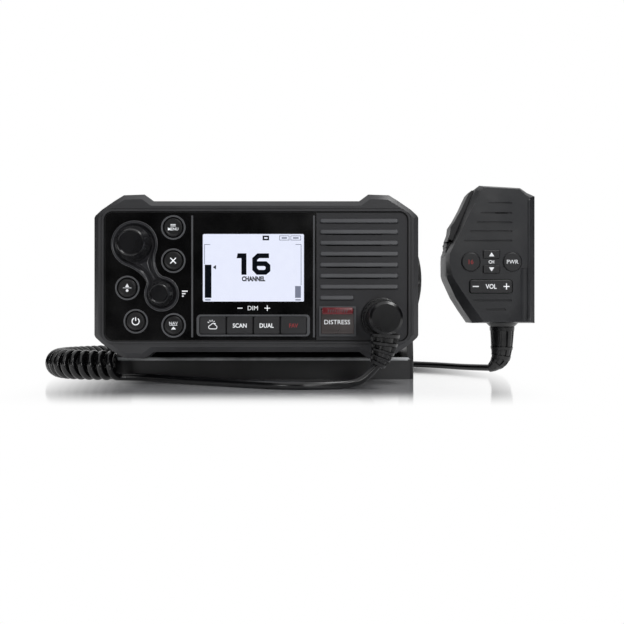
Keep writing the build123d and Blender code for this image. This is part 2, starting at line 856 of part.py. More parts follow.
with BuildPart() as encoders:
    with BuildSketch(front(y_key_flange)):
        with Locations(*dial_spots):
            Rectangle(encoder_side, encoder_side)
    extrude(amount=y_key_flange - y_board)
    with BuildSketch(front(y_key_flange)):
        with Locations(*dial_spots):
            Circle(bush_r)
    extrude(amount=y_key_flange - y_recess + 1)
    with BuildSketch(front(y_board - 0.6)):
        with Locations(*dial_spots):
            Circle(shaft_r + run_gap)
    extrude(amount=y_board - y_recess + 1, mode=Mode.SUBTRACT)
finish(encoders, "encoders")

for name, dial in (("channel", channel_dial), ("volume", volume_dial)):
    dial_x, dial_z, recess_r, dial_r, dial_proud, dish_r = dial
    y_knob = y_recess - knob_lift
    knob_h = y_knob - (y_panel - dial_proud)
    assert dial_r + 1 < recess_r, "the knob needs room in its recess"
    shaft_len = knob_h - 4.0
    with BuildPart() as shaft:
        with BuildSketch(front(y_board - 0.7)):
            with Locations((dial_x, dial_z)):
                Circle(shaft_r)
        extrude(amount=y_board - 0.7 - y_knob + shaft_len)
    finish(shaft, f"{name}_shaft")

    with BuildPart() as knob:
        with BuildSketch(axial(dial_x, dial_z, y_knob)):
            with BuildLine():
                Polyline(
                    (0, 0),
                    (dial_r, 0),
                    (dial_r, knob_h / 2),
                    (dial_r - 0.5, knob_h / 2 + 1.2),
                    (dish_r + 1.4, knob_h - 0.6),
                    (dish_r + 0.9, knob_h),
                    (dish_r + 0.5, knob_h - 0.3),
                    (dish_r, knob_h - 1.0),
                    (0, knob_h - 1.0),
                    close=True,
                )
            make_face()
        revolve(axis=forward_axis(dial_x, dial_z))
        with BuildSketch(front(y_knob)):
            with Locations((dial_x, dial_z)):
                Circle(bush_r + 0.7)
        extrude(amount=2.0, mode=Mode.SUBTRACT)
        with BuildSketch(front(y_knob)):
            with Locations((dial_x, dial_z)):
                Circle(shaft_r + run_gap)
        extrude(amount=shaft_len + push_travel + stop_gap, mode=Mode.SUBTRACT)
    finish(knob, f"{name}_knob")

# ---- Keys ------------------------------------------------------------------------------------

key_reach = y_key_flange + key_flange_t - (y_panel - key_proud)
for name, (key_x, key_z) in round_keys.items():
    with BuildPart() as round_key:
        with BuildSketch(axial(key_x, key_z, y_key_flange + key_flange_t)):
            with BuildLine():
                Polyline(
                    (0, 0),
                    (round_flange_r, 0),
                    (round_flange_r, key_flange_t),
                    (round_key_r, key_flange_t),
                    (round_key_r, key_reach - 0.6),
                    (round_key_r - 0.5, key_reach - 0.1),
                    (round_key_r - 1.6, key_reach),
                    (0, key_reach),
                    close=True,
                )
            make_face()
        revolve(axis=forward_axis(key_x, key_z))
    finish(round_key, name)

for number, name in enumerate(function_keys):
    key_x = function_x + (number - (len(function_keys) - 1) / 2) * function_pitch
    with BuildPart() as function_key:
        with BuildSketch(front(y_key_flange)):
            with Locations((key_x, function_z)):
                Rectangle(function_pitch - function_gap, function_h + 2 * function_lap)
        extrude(amount=-key_flange_t)
        with BuildSketch(front(y_key_flange)):
            with Locations((key_x, function_z)):
                RectangleRounded(function_pitch - function_gap, function_h, 1.0)
        extrude(amount=key_reach - key_flange_t)
        chamfer(function_key.faces().sort_by(Axis.Y)[0].edges(), 0.4)
    finish(function_key, name)

with BuildPart() as distress_key:
    with BuildSketch(front(y_key_flange)):
        with Locations((distress_x, distress_z)):
            Rectangle(distress_key_w + 2 * distress_key_lap, distress_key_h + 2 * distress_key_lap)
    extrude(amount=-key_flange_t)
    with BuildSketch(front(y_key_flange)):
        with Locations((distress_x, distress_z)):
            Rectangle(distress_key_w, distress_key_h)
    extrude(amount=y_key_flange - y_panel + cover_gap)
finish(distress_key, "distress_key")

cover_front = cover_axis_y - cover_barrel_r
with BuildPart() as distress_cover:
    with BuildSketch(Plane.YZ.offset(distress_x - distress_in_w / 2 + cover_gap)):
        with Locations((cover_axis_y, axis_z + cover_axis_z)):
            Circle(cover_barrel_r)
        with BuildLine():
            Polyline(
                (cover_front, axis_z + cover_axis_z),
                (cover_front + cover_t, axis_z + cover_axis_z),
                (cover_front + cover_t, axis_z + distress_bottom + cover_gap),
                (cover_front - cover_lip, axis_z + distress_bottom + cover_gap),
                (cover_front, axis_z + distress_bottom + cover_gap + 2.0),
                close=True,
            )
        make_face()
    extrude(amount=distress_in_w - 2 * cover_gap)
    with BuildSketch(Plane.YZ.offset(distress_x - distress_in_w / 2 - cover_pin_len)):
        with Locations((cover_axis_y, axis_z + cover_axis_z)):
            Circle(cover_pin_r)
    extrude(amount=distress_in_w + 2 * cover_pin_len)
finish(distress_cover, "distress_cover")

# ---- Speaker ---------------------------------------------------------------------------------

with BuildPart() as speaker_frame:
    with BuildSketch(axial(speaker_x, speaker_z, y_panel_back)):
        with BuildLine():
            Polyline(
                (speaker_seat_r, 0),
                (speaker_r, 0),
                (speaker_r, -2.6),
                (magnet_r, -speaker_d + magnet_t + basket_wall / 2),
                (magnet_r, -speaker_d),
                (0, -speaker_d),
                (0, -speaker_d + magnet_t),
                (magnet_r - basket_wall, -speaker_d + magnet_t + basket_wall),
                (speaker_r - 1.2, -speaker_flange_t - 0.8),
                (speaker_r - 1.2, -speaker_flange_t),
                (speaker_seat_r, -speaker_flange_t),
                close=True,
            )
        make_face()
    revolve(axis=forward_axis(speaker_x, speaker_z))
finish(speaker_frame, "speaker_frame")

with BuildPart() as speaker_cone:
    with BuildSketch(axial(speaker_x, speaker_z, y_panel_back + speaker_flange_t)):
        with BuildLine():
            Polyline(
                (0, cone_t - cone_d),
                (cone_cap_r, cone_t - cone_d),
                (speaker_seat_r - 1, -cone_roll),
                (speaker_seat_r - 1, 0),
                (speaker_seat_r + 1.5, 0),
                (speaker_seat_r + 1.5, -cone_roll),
                (speaker_seat_r, -2 * cone_roll),
                (cone_cap_r + cone_roll, -cone_d),
                (0, -cone_d),
                close=True,
            )
        make_face()
    revolve(axis=forward_axis(speaker_x, speaker_z))
finish(speaker_cone, "speaker_cone")

# ---- Main board, shield and ribbon -----------------------------------------------------------

with BuildPart() as main_board:
    with BuildSketch(Plane.XY.offset(main_board_bottom)):
        with Locations((0, main_board_y)):
            Rectangle(main_board_w, main_board_d)
    extrude(amount=board_t)
finish(main_board, "main_board")

main_board_top = main_board_bottom + board_t
with BuildPart() as rf_shield:
    with BuildSketch(Plane.XY.offset(main_board_top)):
        with Locations((shield_x, main_board_y)):
            Rectangle(shield_w, shield_d)
    extrude(amount=shield_h)
    with BuildSketch(Plane.XY.offset(main_board_top)):
        with Locations((shield_x, main_board_y)):
            Rectangle(shield_w - 2 * shield_t, shield_d - 2 * shield_t)
    extrude(amount=shield_h - shield_t, mode=Mode.SUBTRACT)
finish(rf_shield, "rf_shield")

ribbon_front = y_board + board_t
ribbon_back = main_board_y - main_board_d / 2 + 6
ribbon_top = main_board_top + ribbon_rise
with BuildPart() as board_ribbon:
    with BuildSketch(Plane.YZ.offset(ribbon_x - ribbon_w / 2)):
        with BuildLine():
            Polyline(
                (ribbon_front, ribbon_top + 5),
                (ribbon_front + ribbon_t, ribbon_top + 5),
                (ribbon_front + ribbon_t, ribbon_top + ribbon_t),
                (ribbon_back, ribbon_top + ribbon_t),
                (ribbon_back, main_board_top),
                (ribbon_back - ribbon_t, main_board_top),
                (ribbon_back - ribbon_t, ribbon_top),
                (ribbon_front, ribbon_top),
                close=True,
            )
        make_face()
    extrude(amount=ribbon_w)
finish(board_ribbon, "board_ribbon")

# ---- Rear connectors -------------------------------------------------------------------------

with BuildPart() as antenna_socket:
    with BuildSketch(front(case_back)):
        with Locations((antenna_x, connector_z)):
            RectangleRounded(antenna_flange, antenna_flange, 2)
    extrude(amount=-connector_flange_t)
    with BuildSketch(front(case_back - case_back_wall)):
        with Locations((antenna_x, connector_z)):
            Circle(antenna_r)
    extrude(amount=-case_back_wall - connector_flange_t - antenna_len)
    with BuildSketch(front(case_back + connector_flange_t + antenna_len)):
        with Locations((antenna_x, connector_z)):
            Circle(antenna_r - 1.6)
            Circle(antenna_r - 3.2, mode=Mode.SUBTRACT)
    extrude(amount=8.0, mode=Mode.SUBTRACT)
    with BuildSketch(front(case_back + connector_flange_t + antenna_len)):
        with Locations((antenna_x, connector_z)):
            Circle(1.9)
    extrude(amount=9.0, mode=Mode.SUBTRACT)
finish(antenna_socket, "antenna_socket")

with BuildPart() as gps_socket:
    with BuildSketch(front(case_back)):
        with Locations((gps_x, connector_z)):
            RegularPolygon(5.0, 6)
    extrude(amount=-connector_flange_t)
    with BuildSketch(front(case_back - case_back_wall)):
        with Locations((gps_x, connector_z)):
            Circle(gps_r)
    extrude(amount=-case_back_wall - connector_flange_t - gps_len)
    with BuildSketch(front(case_back + connector_flange_t + gps_len)):
        with Locations((gps_x, connector_z)):
            Circle(gps_r - 0.9)
            Circle(0.9, mode=Mode.SUBTRACT)
    extrude(amount=2.0, mode=Mode.SUBTRACT)
finish(gps_socket, "gps_socket")

with BuildPart() as network_socket:
    with BuildSketch(front(case_back)):
        with Locations((network_x, connector_z)):
            RegularPolygon(9.0, 6)
    extrude(amount=-connector_flange_t)
    with BuildSketch(front(case_back - case_back_wall)):
        with Locations((network_x, connector_z)):
            Circle(network_r)
    extrude(amount=-case_back_wall - connector_flange_t - network_len)
    with BuildSketch(front(case_back + connector_flange_t + network_len)):
        with Locations((network_x, connector_z)):
            Circle(0.6)
            with PolarLocations(2.6, 4, start_angle=45):
                Circle(0.6)
            with Locations((0, network_r - 1.4)):
                Rectangle(1.4, 1.2)
    extrude(amount=6.0, mode=Mode.SUBTRACT)
finish(network_socket, "network_socket")

with BuildPart() as power_gland:
    with BuildSketch(axial(gland_x, connector_z, case_back - case_back_wall)):
        with BuildLine():
            Polyline(
                (gland_bore_r, 0),
                (gland_r - 2, 0),
                (gland_r - 2, -case_back_wall),
                (gland_r + 1.5, -case_back_wall),
                (gland_r + 1.5, -case_back_wall - connector_flange_t),
                (gland_r, -case_back_wall - connector_flange_t - 0.6),
                (gland_r, -case_back_wall - gland_len + 2),
                (gland_r - 2.5, -case_back_wall - gland_len),
                (gland_bore_r, -case_back_wall - gland_len),
                close=True,
            )
        make_face()
    revolve(axis=forward_axis(gland_x, connector_z))
finish(power_gland, "power_gland")

# ---- Microphone socket, plug and locking ring ------------------------------------------------

y_socket = y_panel - socket_flange_t
with BuildPart() as mic_socket:
    with BuildSketch(axial(socket_x, socket_z, y_panel)):
        with BuildLine():
            Polyline(
                (0, -socket_len),
                (socket_r, -socket_len),
                (socket_r, 0),
                (socket_flange_r, 0),
                (socket_flange_r, socket_flange_t - 0.8),
                (socket_flange_r - 0.8, socket_flange_t),
                (socket_bore_r, socket_flange_t),
                (socket_bore_r, socket_flange_t - socket_bore_d),
                (0, socket_flange_t - socket_bore_d),
                close=True,
            )
        make_face()
    revolve(axis=forward_axis(socket_x, socket_z))
finish(mic_socket, "mic_socket")

y_plug_front = y_panel - plug_reach
y_plug_ring = y_socket - plug_ring_t
y_cap_back = y_plug_ring - 0.3
neck_y = y_plug_front + plug_neck_back
lead_route = [
    plug_boot_end,
    (socket_x - 10.1, -93.8, 5.2),
    (socket_x - 19.7, -96.0, cord_r + table_gap),
    (socket_x - 32.7, -101.0, cord_r + table_gap),
    (20.0, -103.5, cord_r + table_gap),
    (-1.0, -92.5, cord_r + table_gap),
    (-22.0, -78.0, cord_r + table_gap),
    (-42.0, -65.5, cord_r + table_gap),
    (curl_start_x + 26.0, -52.0, cord_r + table_gap),
    (curl_start_x + 14.5, -43.35, cord_r + table_gap),
    (curl_start_x, curl_start_y, cord_r + table_gap),
]

with BuildPart() as plug_body:
    with BuildSketch(axial(socket_x, socket_z, y_socket)):
        with BuildLine():
            Polyline(
                (0, -socket_bore_d + 0.3),
                (plug_nose_r, -socket_bore_d + 0.3),
                (plug_nose_r, 0),
                (plug_barrel_r, 0),
                (plug_barrel_r, y_socket - y_cap_back),
                (plug_cap_r, y_socket - y_cap_back),
                (plug_cap_r, y_socket - y_plug_front - plug_cap_chamfer),
                (plug_cap_r - plug_cap_chamfer, y_socket - y_plug_front),
                (0, y_socket - y_plug_front),
                close=True,
            )
        make_face()
    revolve(axis=forward_axis(socket_x, socket_z))
    with BuildSketch(Plane.XY.offset(plug_boot_top)):
        with Locations((socket_x, neck_y)):
            Circle(plug_neck_r)
    extrude(amount=socket_world_z - plug_boot_top)
    with BuildSketch(Plane.XY.offset(plug_boot_top)):
        with Locations((socket_x, neck_y)):
            Circle(plug_neck_r)
    for (left, height, radius), lean in ((plug_boot_mid, -0.12), (plug_boot_low, -0.35)):
        with BuildSketch(Plane(origin=(socket_x - left, neck_y, height), z_dir=(lean, 0, -1))):
            Circle(radius)
    with BuildSketch(
        Plane(origin=plug_boot_end, z_dir=Vector(*lead_route[1]) - Vector(*lead_route[0]))
    ):
        Circle(plug_boot_end_r)
    loft()
finish(plug_body, "plug_body")

with BuildPart() as plug_ring:
    with BuildSketch(front(y_socket - stop_gap)):
        with Locations((socket_x, socket_z)):
            Circle(plug_ring_r)
            Circle(plug_barrel_r + run_gap, mode=Mode.SUBTRACT)
            with PolarLocations(plug_ring_r + 0.3, plug_ring_grips):
                Circle(0.7, mode=Mode.SUBTRACT)
    extrude(amount=plug_ring_t - stop_gap)
finish(plug_ring, "plug_ring")


# ---- Cord ------------------------------------------------------------------------------------

def tube_radii(route):
    """Radius at each corner: 0.45 of its shorter run over the tangent of half the turn."""
    radii = []
    for before, corner, after in zip(route, route[1:], route[2:]):
        run_in = Vector(*corner) - Vector(*before)
        run_out = Vector(*after) - Vector(*corner)
        turn = run_in.get_angle(run_out)
        radii.append(0.45 * min(run_in.length, run_out.length) / tan(radians(turn / 2)))
    return radii


curl_z = curl_r + table_gap
curl_route = [
    (curl_start_x, curl_start_y, curl_z),
    (curl_start_x - 28.0, -37.4, curl_z),
    (curl_start_x - 45.5, -14.0, curl_z),
    (curl_start_x - 43.5, 14.0, curl_z),
    (curl_start_x - 25.0, 42.0, curl_z),
    (curl_start_x + 1.0, 68.0, curl_z),
    (-45.0, 86.0, curl_z),
    (0.0, 93.0, curl_z),
    (48.0, 93.0, curl_z),
]
mic_route = [
    (48.0, 93.0, cord_r + table_gap),
    (67.0, 93.0, cord_r + table_gap),
    (88.0, 89.5, cord_r + table_gap),
    (107.0, 81.5, cord_r + table_gap),
    (mic_x - 54.4, 67.5, cord_r + table_gap),
    (mic_x - 43.4, 52.0, cord_r + table_gap),
    (mic_x - 34.9, 40.0, 2.6),
    mic_boot_end,
]

for name, route, radius in (
    ("cord_plug_lead", lead_route, cord_r),
    ("cord_curl", curl_route, curl_r),
    ("cord_mic_lead", mic_route, cord_r),
):
    with BuildPart() as tube:
        with BuildLine() as path:
            FilletPolyline(*route, radius=tube_radii(route))
        start = Plane(origin=route[0], z_dir=Vector(*route[1]) - Vector(*route[0]))
        with BuildSketch(start):
            Circle(radius)
        sweep(path=path.wires()[0])
    length = path.wires()[0].length
    share = tube.part.volume / (pi * radius * radius * length)
    print(name, "radii", [round(r, 1) for r in tube_radii(route)])
    print(name, "length", round(length, 1), "volume over section times length", round(share, 4))
    finish(tube, name)

# ---- Fist microphone -------------------------------------------------------------------------

y_mic_face = mic_y - mic_front_d
y_mic_inner = y_mic_face + mic_face_wall
y_mic_flange = y_mic_inner + stop_gap
y_mic_board = y_mic_flange + key_flange_t + mic_key_travel + stop_gap
y_mic_back = mic_y + mic_rear_d
side_top = Vector(*mic_shell[5])
side_along = (Vector(*mic_shell[6]) - side_top).normalized()
side_in = Vector(-side_along.Y, side_along.X)
mic_boot_x = mic_x + mic_boot_u


def mic_plane(y):
    """Plane that faces forward at depth y; its origin is the mic's bottom right corner."""
    return Plane(origin=(mic_x, y, mic_z), x_dir=(1, 0, 0), z_dir=(0, -1, 0))


def on_side(along, inward):
    """A point given along the slanted side from its top, and inward from its surface."""
    spot = side_top + side_along * along + side_in * inward
    return (spot.X, spot.Y)


def mic_axis(u, v):
    return Axis((mic_x + u, 0, mic_z + v), (0, 1, 0))


lever_pivot = on_side(*ptt_pivot)
slot_corners = [
    on_side(ptt_slot_top, -8),
    on_side(ptt_slot_top, ptt_slot),
    on_side(ptt_slot_end, ptt_slot),
    on_side(ptt_slot_end, -8),
]

with BuildPart() as mic_front_shell:
    with BuildSketch(mic_plane(mic_y)):
        with BuildLine():
            Polyline(*mic_shell, close=True)
        make_face()
    extrude(amount=mic_front_d - mic_bevel_d)
    with BuildSketch(mic_plane(y_mic_face + mic_bevel_d)):
        with BuildLine():
            Polyline(*mic_shell, close=True)
        make_face()
    with BuildSketch(mic_plane(y_mic_face)):
        with BuildLine():
            Polyline(*mic_face, close=True)
        make_face()
    loft(ruled=True)
    with BuildSketch(mic_plane(mic_y)):
        with BuildLine():
            Polyline(*mic_hollow, close=True)
        make_face()
    extrude(amount=mic_front_d - mic_face_wall, mode=Mode.SUBTRACT)
    with BuildSketch(mic_plane(mic_y)):
        with BuildLine():
            Polyline(*slot_corners, close=True)
        make_face()
    extrude(amount=ptt_half_d + ptt_gap, mode=Mode.SUBTRACT)
    with BuildSketch(mic_plane(mic_y)):
        with Locations(lever_pivot):
            Circle(ptt_pin_r + run_gap)
    extrude(amount=ptt_half_d + ptt_pin_len + ptt_gap, mode=Mode.SUBTRACT)
    with BuildSketch(mic_plane(y_mic_inner)):
        with Locations(*mic_board_posts):
            Circle(mic_board_post_r)
    extrude(amount=y_mic_inner - y_mic_board)
    with BuildSketch(mic_plane(y_mic_inner)):
        with Locations(*mic_screw_spots):
            Circle(mic_post_r)
    extrude(amount=y_mic_inner - mic_y)
    with BuildSketch(mic_plane(mic_y)):
        with Locations(*mic_screw_spots):
            Circle(mic_screw_r + thread_gap)
    extrude(amount=mic_screw_len + 1, mode=Mode.SUBTRACT)
    with BuildSketch(Plane.XY.offset(mic_z)):
        with Locations((mic_boot_x, mic_y)):
            Circle(mic_boot_neck_r + fit_gap)
    extrude(amount=mic_floor, mode=Mode.SUBTRACT)
    with BuildSketch(Plane.XY.offset(mic_z)):
        with Locations((mic_x + mic_scoop_u, y_mic_face + mic_scoop_d - mic_scoop_r)):
            Circle(mic_scoop_r)
    extrude(amount=mic_scoop_h, mode=Mode.SUBTRACT)
    for slot_v, slot_left, slot_right in mic_grooves:
        with BuildSketch(mic_plane(y_mic_face)):
            with Locations(((slot_left + slot_right) / 2, slot_v)):
                SlotOverall(slot_right - slot_left, mic_groove_h)
        extrude(amount=-mic_groove_d, mode=Mode.SUBTRACT)
    with BuildSketch(mic_plane(y_mic_face)):
        with Locations((mic_sound_u, mic_grooves[1][0])):
            SlotOverall(mic_sound_w, mic_groove_h / 2)
    extrude(amount=-mic_face_wall, mode=Mode.SUBTRACT)
    with BuildSketch(mic_plane(y_mic_face)):
        with Locations((mic_16_u, mic_row), (mic_level_u, mic_row)):
            Circle(mic_key_r + slide_gap)
        with Locations(
            (mic_channel_u, mic_row + mic_channel_step), (mic_channel_u, mic_row - mic_channel_step)
        ):
            RectangleRounded(mic_channel_w + 2 * slide_gap, mic_channel_h + 2 * slide_gap, 1.2)
        with Locations((rocker_u, rocker_v)):
            RectangleRounded(rocker_w + 2 * rocker_gap, rocker_h + 2 * rocker_gap, 2.0)
    extrude(amount=-mic_face_wall, mode=Mode.SUBTRACT)
    with BuildSketch(mic_plane(y_mic_inner)):
        with Locations((rocker_u, rocker_v)):
            with GridLocations(1, rocker_h + 2 * rocker_gap + rocker_lug_t, 1, 2):
                Rectangle(rocker_lug_w, rocker_lug_t)
    extrude(amount=y_mic_inner - y_mic_board + fit_gap)
    with BuildSketch(Plane.XY.offset(mic_z + rocker_v - rocker_h)):
        with Locations((mic_x + rocker_u, rocker_pin_y)):
            Circle(rocker_pin_r + run_gap)
    extrude(amount=2 * rocker_h, mode=Mode.SUBTRACT)
finish(mic_front_shell, "mic_front_shell")

with BuildPart() as mic_rear_shell:
    with BuildSketch(mic_plane(mic_y)):
        with BuildLine():
            Polyline(*mic_shell, close=True)
        make_face()
    extrude(amount=-mic_rear_d + mic_back_chamfer)
    with BuildSketch(mic_plane(y_mic_back - mic_back_chamfer)):
        with BuildLine():
            Polyline(*mic_shell, close=True)
        make_face()
    extrude(amount=-mic_back_chamfer, taper=45)
    with BuildSketch(mic_plane(mic_y)):
        with BuildLine():
            Polyline(*mic_hollow, close=True)
        make_face()
    extrude(amount=-mic_rear_d + mic_face_wall, mode=Mode.SUBTRACT)
    with BuildSketch(mic_plane(mic_y)):
        with BuildLine():
            Polyline(*slot_corners, close=True)
        make_face()
    extrude(amount=-ptt_half_d - ptt_gap, mode=Mode.SUBTRACT)
    with BuildSketch(mic_plane(mic_y)):
        with Locations(lever_pivot):
            Circle(ptt_pin_r + run_gap)
    extrude(amount=-ptt_half_d - ptt_pin_len - ptt_gap, mode=Mode.SUBTRACT)
    with BuildSketch(mic_plane(mic_y)):
        with Locations(*mic_screw_spots):
            Circle(mic_post_r)
    extrude(amount=-mic_rear_d + mic_face_wall)
    with BuildSketch(mic_plane(mic_y)):
        with Locations(*mic_screw_spots):
            Circle(mic_screw_r + fit_gap)
        with Locations((stud_u, stud_v)):
            Circle(stud_neck_r / 2 + fit_gap)
    extrude(amount=-mic_rear_d, mode=Mode.SUBTRACT)
    with BuildSketch(mic_plane(y_mic_back)):
        with Locations(*mic_screw_spots):
            Circle(mic_screw_head_r + fit_gap)
    extrude(amount=mic_screw_head_t + 0.4, mode=Mode.SUBTRACT)
    with BuildSketch(Plane.XY.offset(mic_z)):
        with Locations((mic_boot_x, mic_y)):
            Circle(mic_boot_neck_r + fit_gap)
    extrude(amount=mic_floor, mode=Mode.SUBTRACT)
finish(mic_rear_shell, "mic_rear_shell")

with BuildPart() as mic_screws:
    with BuildSketch(mic_plane(y_mic_back - 0.4)):
        with Locations(*mic_screw_spots):
            Circle(mic_screw_head_r)
    extrude(amount=mic_screw_head_t)
    with BuildSketch(mic_plane(mic_y - mic_screw_len)):
        with Locations(*mic_screw_spots):
            Circle(mic_screw_r)
    extrude(amount=-mic_screw_len - mic_rear_d + mic_screw_head_t + 0.4)
finish(mic_screws, "mic_screws")

with BuildPart() as mic_hang_stud:
    with BuildSketch(axial(mic_x + stud_u, mic_z + stud_v - axis_z, y_mic_back)):
        with BuildLine():
            Polyline(
                (0, mic_face_wall + 1),
                (stud_neck_r / 2, mic_face_wall + 1),
                (stud_neck_r / 2, 0),
                (stud_neck_r, 0),
                (stud_neck_r, -stud_neck_len),
                (stud_disc_r, -stud_neck_len),
                (stud_disc_r, -stud_neck_len - stud_disc_t + 1),
                (stud_disc_r - 1, -stud_neck_len - stud_disc_t),
                (0, -stud_neck_len - stud_disc_t),
                close=True,
            )
        make_face()
    revolve(axis=mic_axis(stud_u, stud_v))
finish(mic_hang_stud, "mic_hang_stud")

with BuildPart() as mic_board:
    with BuildSketch(mic_plane(y_mic_board)):
        with BuildLine():
            Polyline(*mic_hollow, close=True)
        make_face()
        offset(amount=-0.5, kind=Kind.INTERSECTION)
        with Locations(*mic_screw_spots):
            Circle(mic_post_r + mic_post_gap, mode=Mode.SUBTRACT)
    extrude(amount=-mic_board_t)
finish(mic_board, "mic_board")

with BuildPart() as mic_capsule:
    with BuildSketch(mic_plane(y_mic_board)):
        with Locations((mic_sound_u, mic_grooves[1][0])):
            Circle(mic_capsule_r)
    extrude(amount=y_mic_board - y_mic_inner - stop_gap)
finish(mic_capsule, "mic_capsule")

mic_key_reach = y_mic_flange + key_flange_t - (y_mic_face - mic_key_proud)
for name, key_u in (("mic_key_16", mic_16_u), ("mic_key_level", mic_level_u)):
    with BuildPart() as mic_key:
        with BuildSketch(
            axial(mic_x + key_u, mic_z + mic_row - axis_z, y_mic_flange + key_flange_t)
        ):
            with BuildLine():
                Polyline(
                    (0, 0),
                    (mic_key_r + mic_key_lap, 0),
                    (mic_key_r + mic_key_lap, key_flange_t),
                    (mic_key_r, key_flange_t),
                    (mic_key_r, mic_key_reach - 0.7),
                    (mic_key_r - 0.7, mic_key_reach),
                    (0, mic_key_reach),
                    close=True,
                )
            make_face()
        revolve(axis=mic_axis(key_u, mic_row))
    finish(mic_key, name)

for name, step in (("mic_key_up", mic_channel_step), ("mic_key_down", -mic_channel_step)):
    with BuildPart() as mic_key:
        with BuildSketch(mic_plane(y_mic_flange)):
            with Locations((mic_channel_u, mic_row + step)):
                Rectangle(mic_channel_w + 2 * mic_key_lap, mic_channel_h + 2 * mic_key_lap)
        extrude(amount=-key_flange_t)
        with BuildSketch(mic_plane(y_mic_flange)):
            with Locations((mic_channel_u, mic_row + step)):
                RectangleRounded(mic_channel_w, mic_channel_h, 1.0)
        extrude(amount=mic_key_reach - key_flange_t)
        chamfer(mic_key.faces().sort_by(Axis.Y)[0].edges(), 0.5)
    finish(mic_key, name)

with BuildPart() as mic_volume_rocker:
    with BuildSketch(mic_plane(rocker_pin_y)):
        with Locations((rocker_u, rocker_v)):
            RectangleRounded(rocker_w, rocker_h, 1.7)
    extrude(amount=rocker_pin_y - y_mic_face + mic_key_proud)
    chamfer(mic_volume_rocker.faces().sort_by(Axis.Y)[0].edges(), 0.6)
    with BuildSketch(mic_plane(rocker_pin_y)):
        with Locations((rocker_u, rocker_v)):
            Rectangle(4 * rocker_pin_r, rocker_h)
    extrude(amount=-rocker_pin_r)
    with BuildSketch(Plane.XY.offset(mic_z + rocker_v - rocker_h / 2 - rocker_gap - rocker_lug_t)):
        with Locations((mic_x + rocker_u, rocker_pin_y)):
            Circle(rocker_pin_r)
    extrude(amount=rocker_h + 2 * rocker_gap + 2 * rocker_lug_t)
finish(mic_volume_rocker, "mic_volume_rocker")

with BuildPart() as mic_ptt:
    with BuildSketch(mic_plane(mic_y - ptt_half_d)):
        with BuildLine():
            Polyline(*[on_side(along, inward) for along, inward in ptt_profile], close=True)
        make_face()
    extrude(amount=-2 * ptt_half_d)
    with BuildSketch(mic_plane(mic_y - ptt_half_d - ptt_pin_len)):
        with Locations(lever_pivot):
            Circle(ptt_pin_r)
    extrude(amount=-2 * ptt_half_d - 2 * ptt_pin_len)
finish(mic_ptt, "mic_ptt")

with BuildPart() as mic_boot:
    with BuildSketch(Plane.XY.offset(mic_z + mic_floor + 0.1)):
        with Locations((mic_boot_x, mic_y)):
            Circle(mic_boot_neck_r + 2)
    extrude(amount=2)
    with BuildSketch(Plane.XY.offset(mic_z - 0.1)):
        with Locations((mic_boot_x, mic_y)):
            Circle(mic_boot_neck_r)
    extrude(amount=mic_floor + 0.2)
    with BuildSketch(Plane.XY.offset(mic_z - 0.1)):
        with Locations((mic_boot_x, mic_y)):
            Circle(mic_collar_r)
    with BuildSketch(Plane.XY.offset(mic_z - mic_collar_h)):
        with Locations((mic_boot_x, mic_y)):
            Circle(mic_boot_r + 0.8)
    loft()
    with BuildSketch(Plane.XY.offset(mic_z - mic_collar_h)):
        with Locations((mic_boot_x, mic_y)):
            Circle(mic_boot_r)
    with BuildSketch(Plane.XY.offset(15.0)):
        with Locations((mic_boot_x - 0.4, mic_y)):
            Circle(6.0)
    with BuildSketch(Plane(origin=(mic_boot_x - 2.4, mic_y + 0.9, 7.6), z_dir=(-0.5, 0.2, -0.85))):
        Circle(4.9)
    with BuildSketch(
        Plane(origin=mic_boot_end, z_dir=Vector(*mic_route[-2]) - Vector(*mic_route[-1]))
    ):
        Circle(mic_boot_end_r)
    loft()
finish(mic_boot, "mic_boot")
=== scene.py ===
"""A fixed-mount VHF marine radio on its U bracket, with a fist microphone on a curly cord.

Metres, in the frame of its solids: X runs to the right, the front faces -Y, Z is up, and the origin is on
the table, in the middle of the bracket's four screw holes. Sizes are in millimetres and divided by 1000.
"""

import json
import math
import bmesh
import bpy
import numpy as np
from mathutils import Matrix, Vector

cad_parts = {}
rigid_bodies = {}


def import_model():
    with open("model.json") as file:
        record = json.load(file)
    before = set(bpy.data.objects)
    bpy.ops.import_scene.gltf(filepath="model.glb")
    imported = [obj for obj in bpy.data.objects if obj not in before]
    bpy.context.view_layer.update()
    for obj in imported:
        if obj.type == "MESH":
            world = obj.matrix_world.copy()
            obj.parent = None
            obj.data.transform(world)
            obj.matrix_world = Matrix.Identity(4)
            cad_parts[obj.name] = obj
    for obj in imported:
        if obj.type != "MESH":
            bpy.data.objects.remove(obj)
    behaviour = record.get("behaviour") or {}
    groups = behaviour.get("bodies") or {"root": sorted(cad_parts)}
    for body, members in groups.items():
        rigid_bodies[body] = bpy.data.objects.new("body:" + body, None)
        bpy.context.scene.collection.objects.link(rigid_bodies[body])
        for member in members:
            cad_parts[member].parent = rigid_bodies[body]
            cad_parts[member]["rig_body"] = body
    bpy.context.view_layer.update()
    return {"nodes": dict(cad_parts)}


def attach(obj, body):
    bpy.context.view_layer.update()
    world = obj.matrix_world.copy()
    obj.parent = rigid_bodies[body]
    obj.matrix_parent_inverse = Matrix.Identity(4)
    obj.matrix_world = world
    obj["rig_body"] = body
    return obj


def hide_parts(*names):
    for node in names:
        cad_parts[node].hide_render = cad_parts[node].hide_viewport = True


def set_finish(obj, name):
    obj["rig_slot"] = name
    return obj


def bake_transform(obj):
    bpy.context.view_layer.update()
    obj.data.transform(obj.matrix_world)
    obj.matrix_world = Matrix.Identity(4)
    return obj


for stray in list(bpy.data.objects):
    bpy.data.objects.remove(stray)
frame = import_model()


